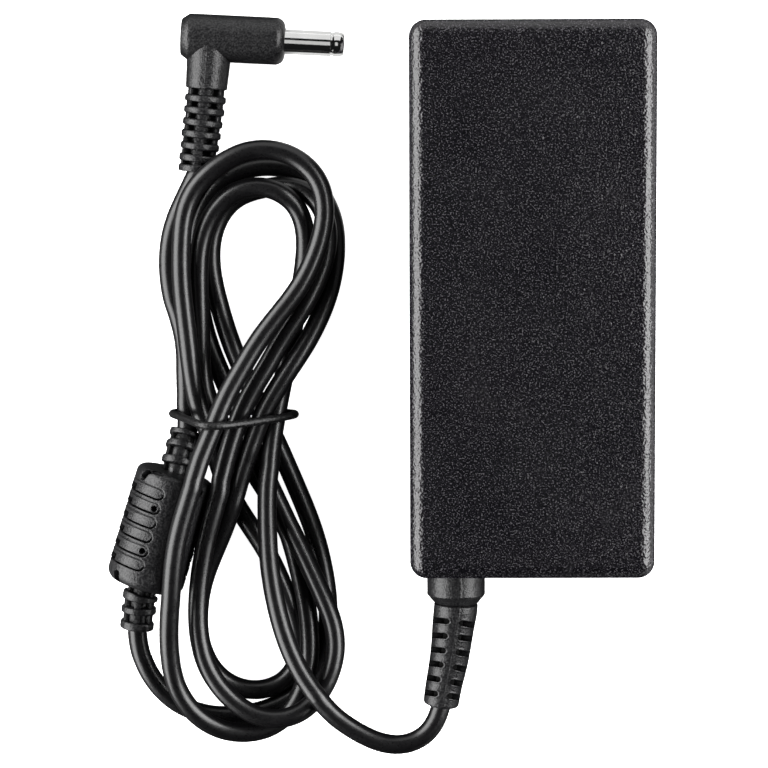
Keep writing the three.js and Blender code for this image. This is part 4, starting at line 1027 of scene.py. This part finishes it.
def cord():
    curve = Curve(CORD_PATH)
    end = curve.length + CORD_TAIL
    rings = np.arange(FIRST_RING, int(math.floor(end / CORD_STEP)) + 1) * CORD_STEP
    centres = curve(rings)
    frames = frames_transport(centres)
    # across, the texture follows the sine of the angle, so it has no seam
    across = np.sin(2 * np.pi * (np.arange(CORD_SIDES) / CORD_SIDES)) * CORD_R * MM

    def piece(name, start, stop):
        first, last = [int(round(s / CORD_STEP)) - FIRST_RING for s in (start, stop)]
        part = slice(first, min(last, len(rings) - 1) + 1)
        count = len(rings[part])
        uvs = np.stack([np.tile(across, count), np.repeat(rings[part] * MM, CORD_SIDES)], 1)
        ob = tube(name, np.full((count, CORD_SIDES), CORD_R), centres[part],
                  [direction[part] for direction in frames], uvs)
        return smooth(ob, 50)

    def place(s):
        return tuple(curve([s])[0] * MM)

    exit_bend = piece("cord_exit_bend", FIRST_RING * CORD_STEP, LEAD_START + 11.4)
    lead = piece("cord_lead_jacket", LEAD_START + 11.4, COIL_START - 8.0)
    lead_bend = piece("cord_lead_bend", COIL_START - 8.0, COIL_START + 8.5)
    coil = piece("cord_coil_jacket", COIL_START + 8.5, PLUG_START - 10.5)
    plug_bend = piece("cord_plug_bend", PLUG_START - 10.5, end)
    dress(lead, "cord_pvc", "lead", "cord_lead")
    dress(coil, "cord_pvc", "coil", "cord_coil")
    for ob in (exit_bend, lead_bend, plug_bend):
        dress(ob, "cord_pvc")
    place(0.0)
    place(LEAD_START + 2.6)
    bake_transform(exit_bend)
    place(COIL_START - 6.0)
    place(COIL_START + 6.0)
    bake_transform(lead_bend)
    place(PLUG_START - 3.2)
    place(curve.length)
    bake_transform(plug_bend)


cord()

# ------------------------------------------------------------------ ferrite choke
CHOKE_CENTRE = np.array([-74.14, -47.18, 7.9])
CHOKE_AXIS = np.array([-0.29045, -0.95689, 0.0])   # towards the end with lower y
CHOKE_HALF = 12.0
CHOKE_R = 7.85
CHOKE_SIDES = 320
TONGUE_FIRST, TONGUE_PITCH, TONGUE_HALF = -7.9, 2.96, 0.98   # along the axis
TONGUE_END = 19.0            # arc length from the top line
ROUND_PITS = [(-4.85, 1.95), (3.95, 1.85)]   # along the axis, arc length


def segment_distance(start, end, x, y):
    dx, dy = end[0] - start[0], end[1] - start[1]
    t = np.clip(((x - start[0]) * dx + (y - start[1]) * dy) / (dx * dx + dy * dy), 0, 1)
    return np.hypot(x - start[0] - t * dx, y - start[1] - t * dy)


def choke():
    """Round body with flat tongues reaching round it from near the top on both sides."""
    a = np.unique(np.concatenate([np.linspace(-CHOKE_HALF, -9.4, 44), np.arange(-9.4, 9.4, 0.10),
                                  np.linspace(9.4, CHOKE_HALF, 40)]))
    end_r = np.where(a < 0, 1.5, 2.2)
    into_end = np.clip((np.abs(a) - (CHOKE_HALF - end_r)) / end_r, 0, 1)
    base = CHOKE_R - end_r * (1 - np.sqrt(np.clip(1 - into_end ** 2, 0, 1)))
    radius = np.repeat(base[:, None], CHOKE_SIDES, axis=1)
    pit_shade = np.zeros_like(radius)
    axial = a[:, None]
    for side in (1, -1):
        # distance round the body from its top line, positive towards this side
        angle = (side * (np.pi / 2 - around(CHOKE_SIDES)) + np.pi) % (2 * np.pi) - np.pi
        arc = angle[None, :] * CHOKE_R
        pit_arc = 9.45 if side > 0 else 12.2
        for i in range(6):
            v = axial - (TONGUE_FIRST + TONGUE_PITCH * i)
            start = 1.0 - 0.04 * i if side > 0 else 10.0
            nearest = np.clip(arc, start + TONGUE_HALF, TONGUE_END - TONGUE_HALF)
            outside = np.hypot(arc - nearest, v) - TONGUE_HALF
            rise = np.clip((v + TONGUE_HALF) / (2 * TONGUE_HALF), 0, 1)
            radius += (1 - smoothstep(outside, -0.10, 0.02)) * (0.02 + 0.09 * rise)
            # a rounded lip and, outside it, a groove deepest towards the lower-y end
            radius -= (bell(outside - 0.12, 0.13) * (0.14 + 0.34 * smoothstep(v, -0.5, 0.9))
                       * (1 - 0.85 * smoothstep(arc, 10.6, 11.4)))
            radius += bell(outside + 0.14, 0.10) * 0.05
            # rectangular pit
            reach = np.maximum(np.abs(arc - pit_arc) / 1.30, np.abs(v - 0.45) / 0.66)
            pit = 1 - smoothstep(reach, 0.88, 1.04)
            radius -= 1.9 * pit
            pit_shade = np.maximum(pit_shade, pit)
        for pit_axial, pit_arc in ROUND_PITS if side > 0 else ():
            d = np.hypot(arc - pit_arc, axial - pit_axial)
            radius -= 1.5 * (1 - smoothstep(d, 0.46, 0.60))
            pit_shade = np.maximum(pit_shade, 1 - smoothstep(d, 0.42, 0.60))
        # recess and runner at the higher-y end, recess at the lower-y end
        d = segment_distance((6.7, -10.0), (6.1, -11.0), arc, axial)
        radius -= 1.6 * (1 - smoothstep(d, 0.50, 0.72)) * (1 - smoothstep(-axial, 11.6, 11.95))
        d = np.minimum(segment_distance((6.1, -11.0), (4.6, -11.65), arc, axial),
                       segment_distance((4.6, -11.65), (2.4, -11.75), arc, axial))
        radius -= 0.5 * (1 - smoothstep(d, 0.16, 0.30))
        d = segment_distance((6.3, 10.2), (6.3, 11.4), arc, axial)
        radius -= 1.7 * (1 - smoothstep(d, 0.55, 0.80)) * (1 - smoothstep(axial, 11.6, 11.95))
    along = np.repeat(CHOKE_AXIS[None, :], len(a), 0)
    across = np.cross(along, UP)
    frames = (along, across, np.cross(across, along))
    body = smooth(tube("choke_moulding", radius, CHOKE_CENTRE + axial * CHOKE_AXIS, frames), 42)
    # the pits are marked so that the moulded look paints them in shade
    marks = body.data.attributes.new("pit_shade", "FLOAT", "POINT")
    marks.data.foreach_set("value", pit_shade.ravel())
    dress(body, "moulded_pvc", "coil", "choke_jacket")


choke()


# ------------------------------------------------------------------ strain reliefs
def relief(name, path, rings, core, neck, window, body):
    """Rings joined by a sleeve, with windows let into it above and below.

    rings: distance along the path, radius, thickness. The sleeve is smaller than the rings
    by neck; its windows go down to the core radius, between two distances from the midline.
    """
    curve = Curve(path)
    s = np.unique(np.concatenate([np.arange(0, curve.length, 0.08), [curve.length]]))
    centres = curve(s)
    frames = frames_upright(centres)
    angles = around(168)
    radius = np.full((len(s), len(angles)), core)
    for (s0, r0, t0), (s1, r1, t1) in zip(rings, rings[1:]):
        sleeve = 0.5 * (r0 + r1) - neck
        between = (s > s0) & (s < s1)
        middle = 0.5 * (s0 + t0 / 2 + s1 - t1 / 2)
        half = 0.5 * (s1 - t1 / 2 - s0 - t0 / 2) + 0.05
        x = np.abs(np.cos(angles))[None, :] * sleeve
        opening = (smoothstep(x, window[0] - 0.09, window[0] + 0.09)
                   * (1 - smoothstep(x, window[1] - 0.06, window[1] + 0.06)))
        inside = (np.abs(s[between] - middle) < half)[:, None]
        radius[between] = np.where(inside, sleeve - (sleeve - core) * opening, sleeve)
    for place, ring_r, thick in rings:
        d = np.abs(s - place)
        weight = (1 - smoothstep(d, thick / 2 - 0.14, thick / 2 + 0.04))[:, None]
        edge = 0.17 * smoothstep(d, thick / 2 - 0.42, thick / 2)
        radius = radius * (1 - weight) + (ring_r - edge)[:, None] * weight
    ob = tube(name, radius, centres, frames)
    boolean(ob, bore_tool(2.1, centres[-1], frames[0][-1], start=-1.6, count=40))
    smooth(ob, 42)
    dress(ob, "moulded_pvc", body)


def choke_reliefs():
    upper = [[-71.3, -37.6, 7.75], [-70.85, -36.1, 7.5], [-70.33, -33.5, 7.1],
             [-69.62, -30.8, 6.1], [-68.95, -28.35, 5.0], [-68.52, -26.75, 4.55]]
    relief("choke_relief_upper", upper,
           [(0.15, 3.3, 0.8), (length_to(upper, 2), 3.42, 1.45),
            (length_to(upper, 3), 3.40, 1.45), (length_to(upper, 4), 3.34, 1.55)],
           core=2.1, neck=0.5, window=(0.75, 2.35), body="coil")
    lower = [[-77.05, -56.8, 7.9], [-77.6, -58.8, 7.88], [-78.25, -60.83, 7.85],
             [-78.6, -63.5, 7.75], [-79.02, -66.75, 7.6], [-79.12, -67.5, 7.55]]
    relief("choke_relief_lower", lower,
           [(length_to(lower, 1) + 0.1, 3.2, 0.8), (length_to(lower, 2), 3.58, 1.5),
            (length_to(lower, 3), 3.52, 1.5), (length_to(lower, 4) - 0.1, 3.4, 1.7)],
           core=2.1, neck=0.5, window=(0.75, 2.4), body="coil")


choke_reliefs()

# ------------------------------------------------------------------ plug
PLUG_Z = 4.7
HEAD_BACK = np.array([-69.02, 51.23, PLUG_Z])
HEAD_FRONT = np.array([-48.35, 50.13, PLUG_Z])     # the barrel stands out of this end
HEAD_LENGTH = float(np.linalg.norm(HEAD_FRONT - HEAD_BACK))
HEAD_AXIS = (HEAD_FRONT - HEAD_BACK) / HEAD_LENGTH
HEAD_R = 4.68
STEM_CENTRES = [[-63.35, 51.2, PLUG_Z], [-63.45, 49.5, PLUG_Z], [-63.7, 46.2, PLUG_Z],
                [-64.0, 43.0, PLUG_Z], [-64.19, 40.85, PLUG_Z]]
# rings of the plug's relief: x, y, radius
PLUG_RINGS = [(-64.38, 38.85, 4.10), (-64.66, 36.5, 4.05), (-64.98, 34.12, 3.99),
              (-65.30, 31.8, 3.95), (-65.60, 29.45, 3.87), (-65.92, 27.1, 3.82),
              (-66.14, 25.1, 3.76)]
BARREL_R = 2.46
# below, profiles are radius, distance past the head's front
BARREL_PROFILE = [
    (BARREL_R, -7.4), (BARREL_R, 8.95), (BARREL_R - 0.16, 9.06), (BARREL_R - 0.20, 9.35),
    (BARREL_R - 0.05, 9.62), (BARREL_R, 9.85), (BARREL_R, 10.25), (BARREL_R - 0.04, 10.75),
    (BARREL_R - 0.15, 11.2), (BARREL_R - 0.32, 11.52), (BARREL_R - 0.46, 11.62),
    (1.94, 11.58), (1.90, 11.3), (1.88, 10.6), (1.88, -7.4)]
INSULATOR_PROFILE = [(1.60, -4.9), (1.60, 10.7), (1.52, 10.85), (1.05, 10.85), (0.95, 10.7),
                     (0.95, -4.9)]
CENTRE_PIN_PROFILE = [(0, -5.1), (0.55, -5.1), (0.55, 8.9), (0.45, 9.3), (0.2, 9.55), (0, 9.6)]


def plug_stem():
    curve = Curve(STEM_CENTRES)
    end = curve.length
    s = np.unique(np.concatenate([np.arange(0, end - 0.5, 0.25),
                                  np.arange(end - 0.5, end, 0.05), [end]]))
    centres = curve(s)
    angles = around(144)
    base = np.interp(s, [0, 5.0, end - 0.3, end - 0.08, end],
                     [4.42, 4.34, 4.12, 4.05, 3.85])[:, None]
    radius = np.repeat(base, len(angles), axis=1)
    # raised line along top and bottom
    for middle in (np.pi / 2, 3 * np.pi / 2):
        radius += 0.07 * bell((angles - middle)[None, :] * base, 0.22)
    return tube("plug_stem", radius, centres, frames_upright(centres))


def plug_head():
    front = HEAD_LENGTH - 2.0    # start of the front rounding
    profile = [(0, 0.22), (3.05, 0.22), (3.12, 0.05), (3.2, 0.0), (3.52, 0.0), (3.62, 0.05),
               (4.60, 1.40), (4.66, 1.52)]
    profile += [(HEAD_R, 2.2 + (front - 2.2) * k / 8) for k in range(9)]
    for k in range(1, 11):
        t = math.radians(9 * k)
        profile.append((HEAD_R - 1.75 * (1 - math.cos(t)), front + 1.85 * math.sin(t)))
    profile += [(2.75, HEAD_LENGTH - 0.10), (2.62, HEAD_LENGTH - 0.16),
                (2.55, HEAD_LENGTH - 0.45), (0, HEAD_LENGTH - 0.45)]
    head = lathe("plug_head", profile, HEAD_BACK, HEAD_AXIS, 120)
    boolean(head, plug_stem(), "UNION")
    # recess for the barrel
    boolean(head, bore_tool(2.52, HEAD_FRONT, HEAD_AXIS, start=-7, count=64))
    smooth(head, 30)
    dress(head, "moulded_pvc", "plug", "plug_body")


def plug_relief():
    path = [[-63.95, 43.2, PLUG_Z], [-64.14, 41.2, PLUG_Z]]
    path += [[x, y, PLUG_Z] for x, y, _ in PLUG_RINGS] + [[-66.19, 24.42, PLUG_Z]]
    rings = [(length_to(path, 1) - 0.5, 3.95, 1.3)]
    rings += [(length_to(path, i + 2), ring[2], 1.46) for i, ring in enumerate(PLUG_RINGS)]
    relief("plug_relief", path, rings, core=2.02, neck=0.40, window=(1.05, 2.95), body="plug")


def plug_contacts():
    """Barrel with a rolled mouth, insulating ring and centre pin; returns the bare metal."""
    barrel = lathe("plug_barrel_shell", BARREL_PROFILE, HEAD_FRONT, HEAD_AXIS, 96,
                   closed=True, sharp=35)
    dress(barrel, "plated_metal", "plug", "plug_barrel")
    ring = lathe("plug_insulating_ring", INSULATOR_PROFILE, HEAD_FRONT, HEAD_AXIS, 64,
                 closed=True)
    dress(ring, "insulator", "plug", "plug_insulator")
    pin = lathe("plug_pin", CENTRE_PIN_PROFILE, HEAD_FRONT, HEAD_AXIS, 32)
    dress(pin, "gold_pin", "plug", "plug_centre_pin")
    return barrel, pin


plug_head()
plug_relief()
PLUG_METAL = plug_contacts()

# ------------------------------------------------------------------ tie
# centre line of the closed loop round the coil: x,y,z
TIE_PATH = points("""
-65.44,-24.89,16.96 -66.29,-24.76,15.52 -67.07,-24.65,14.04 -67.85,-24.54,12.55
-68.63,-24.44,11.07 -69.42,-24.36,9.59 -70.2,-24.29,8.1 -70.97,-24.23,6.61
-71.56,-24.2,5.05 -71.54,-24.2,3.39 -70.64,-24.21,2.0 -69.13,-24.21,1.33
-67.46,-24.21,1.14 -65.79,-24.21,1.01 -64.12,-24.21,0.88 -62.44,-24.2,0.86
-60.77,-24.2,0.86 -59.09,-24.2,0.86 -57.42,-24.2,0.86 -55.74,-24.2,0.86
-54.06,-24.2,0.86 -52.39,-24.2,0.86 -50.84,-24.22,1.46 -49.49,-24.24,2.46
-48.2,-24.23,3.52 -47.16,-24.21,4.82 -46.91,-24.2,6.45 -47.55,-24.24,7.99
-48.6,-24.32,9.29 -49.8,-24.43,10.46 -51.07,-24.54,11.55 -52.45,-24.67,12.51
-53.84,-24.78,13.44 -55.24,-24.89,14.37 -56.63,-24.99,15.3 -58.03,-25.07,16.23
-59.43,-25.13,17.15 -60.93,-25.16,17.9 -62.55,-25.13,18.31 -64.19,-25.02,18.05
""")
TIE_R = 0.79
TIE_SIDES = 20
TIE_STEPS = 8                # rings per point of the path


def tie():
    count = len(TIE_PATH)
    u = np.arange(count * TIE_STEPS) / TIE_STEPS
    index = np.floor(u).astype(int)
    f = (u - index)[:, None]
    # Catmull-Rom spline
    p0, p1, p2, p3 = (TIE_PATH[(index + k) % count] for k in (-1, 0, 1, 2))
    centres = 0.5 * (2 * p1 + (-p0 + p2) * f + (2 * p0 - 5 * p1 + 4 * p2 - p3) * f ** 2
                     + (-p0 + 3 * p1 - 3 * p2 + p3) * f ** 3)
    along = unit(np.roll(centres, -1, 0) - np.roll(centres, 1, 0))
    y_axis = np.array([0, 1.0, 0])
    side = unit(y_axis - along * (along @ y_axis)[:, None])
    radius = np.full((len(centres), TIE_SIDES), TIE_R)
    verts = ring_points(radius, centres, side, np.cross(along, side)).reshape(-1, 3)
    ring = mesh_object("tie_ring", verts, ring_faces(*radius.shape, closed=True))
    dress(face_outward(ring), "tie_rubber", "tie", "cable_tie")


tie()


# ------------------------------------------------------------------ floor and world
def floor_look():
    """Glowing white to the camera; to all other rays, painted light and shade: a dark floor with
    glowing zones.
    """
    g = new_look("floor")
    co = g.coords()
    paper = g.ramp(g.noise(co, scale=40), [(0.3, (0.9, 0.9, 0.9)), (0.7, (1.0, 1.0, 1.0))])
    matt = g.add("BsdfDiffuse", {0: paper})
    white = g.add("Emission", {0: (1, 1, 1, 1), 1: 1.0})
    seen = g.add("AddShader", {0: matt.outputs[0], 1: white.outputs[0]})
    place = g.add("SeparateXYZ", {0: co}).outputs
    # a painted pool of light under the plug's barrel, seen only in reflections and lighting
    patch = g.math("MULTIPLY", g.remap(place["X"], src=(-0.026, -0.034), to=(0, 1)),
                   g.remap(place["X"], src=(-0.051, -0.047), to=(0, 1)))
    patch = g.math("MULTIPLY", patch, g.remap(place["Y"], src=(0.005, 0.02), to=(0, 1)))
    patch = g.math("MULTIPLY", patch, 0.8)
    # painted light beyond the object's +y end and to both sides in x, with painted shade between
    # them
    far = g.math("MULTIPLY", g.remap(place["Y"], src=(0.06, 0.10), to=(0, 1)), 1.2)
    sides = g.ramp(g.remap(place["X"], src=(-0.3, 0.3), to=(0, 1)), [
        (0.0, (0.9, 0.9, 0.9)), (0.30, (0.5, 0.5, 0.5)), (0.38, (0.02, 0.02, 0.02)),
        (0.56, (0.02, 0.02, 0.02)), (0.62, (1.6, 1.6, 1.6))])
    glow = g.math("MAXIMUM", g.math("MAXIMUM", patch, far), sides)
    # the painted glow, which lights the object and shows in its reflections
    reflected = g.add("Emission", {1: glow})
    camera_ray = g.add("LightPath").outputs["Is Camera Ray"]
    g.fill(g.output, {0: g.mix_shader(camera_ray, reflected, seen)})


def floor():
    floor_look()
    mesh = bpy.data.meshes.new("floor")
    half, z = 3.0, -0.0002
    mesh.from_pydata([(-half, -half, z), (half, -half, z), (half, half, z), (-half, half, z)],
                     [], [(0, 1, 2, 3)])
    ob = bpy.data.objects.new("floor", mesh)
    bpy.context.scene.collection.objects.link(ob)
    ob.data.materials.append(LOOK["floor"])


def studio_world():
    """White to the camera, and a very weak cool light to all other rays."""
    world = bpy.data.worlds.new("studio")
    bpy.context.scene.world = world
    g = Graph(world, "OutputWorld")
    light = g.add("Background", {0: (0.92, 0.95, 1.0, 1), 1: 0.01})
    white = g.add("Background", {0: (1.0, 1.0, 1.0, 1), 1: 1.0})
    camera_ray = g.add("LightPath").outputs["Is Camera Ray"]
    g.fill(g.output, {0: g.mix_shader(camera_ray, light, white)})


floor()
studio_world()


# ------------------------------------------------------------------ lights
def area(name, at, target, size, radiance):
    """Rectangular light at a place, turned to a target, in metres."""
    data = bpy.data.lights.new(name, "AREA")
    data.shape = "RECTANGLE"
    data.size, data.size_y = size
    data.energy = radiance * math.pi * size[0] * size[1]
    ob = bpy.data.objects.new(name, data)
    bpy.context.scene.collection.objects.link(ob)
    ob.location = at
    ob.rotation_euler = (Vector(target) - Vector(at)).to_track_quat("-Z", "Y").to_euler()
    ob.visible_camera = False
    return ob


def link_to_plug_metal(lights, name, exclude=False):
    """Make the lights reach only the plug's bare metal, or everything but it."""
    receivers = bpy.data.collections.new(name)
    for ob in PLUG_METAL:
        receivers.objects.link(ob)
    if exclude:
        for member in receivers.collection_objects:
            member.light_linking.link_state = "EXCLUDE"
    for light in lights:
        light.light_linking.receiver_collection = receivers


banks = [area("left_bank", at=(-0.58, -0.02, 0.37), target=(0.0, -0.02, 0.37),
              size=(1.25, 0.66), radiance=9.8),
         area("right_bank", at=(0.58, 0.15, 0.50), target=(0.0, 0.15, 0.50),
              size=(0.96, 0.66), radiance=12.4),
         area("far_bank", at=(-0.03, 0.65, 0.28), target=(-0.03, 0, 0.28),
              size=(1.0, 0.55), radiance=1.4)]
cards = [area("card_back", at=(-0.042, 0.224, 0.0913), target=(-0.042, 0.0505, 0.0047),
              size=(0.20, 0.193), radiance=0.85),
         area("card_over", at=(-0.042, 0.0555, 0.30), target=(-0.042, 0.0555, 0.0),
              size=(0.10, 0.169), radiance=0.62)]
link_to_plug_metal(cards, "plug_metal_receivers")
link_to_plug_metal(banks, "plug_metal_spared", exclude=True)


# ------------------------------------------------------------------ camera
def camera():
    """Looks down on the adapter from above."""
    data = bpy.data.cameras.new("view")
    data.lens = 139.605
    data.sensor_width = 36
    data.clip_start, data.clip_end = 0.01, 20
    ob = bpy.data.objects.new("view", data)
    bpy.context.scene.collection.objects.link(ob)
    ob.location = (-0.020762, 0.042945, 0.6)
    ob.rotation_euler = (-0.102541, 0.013505, -0.003633)
    bpy.context.scene.camera = ob


camera()
bpy.context.scene.view_settings.view_transform = "Standard"
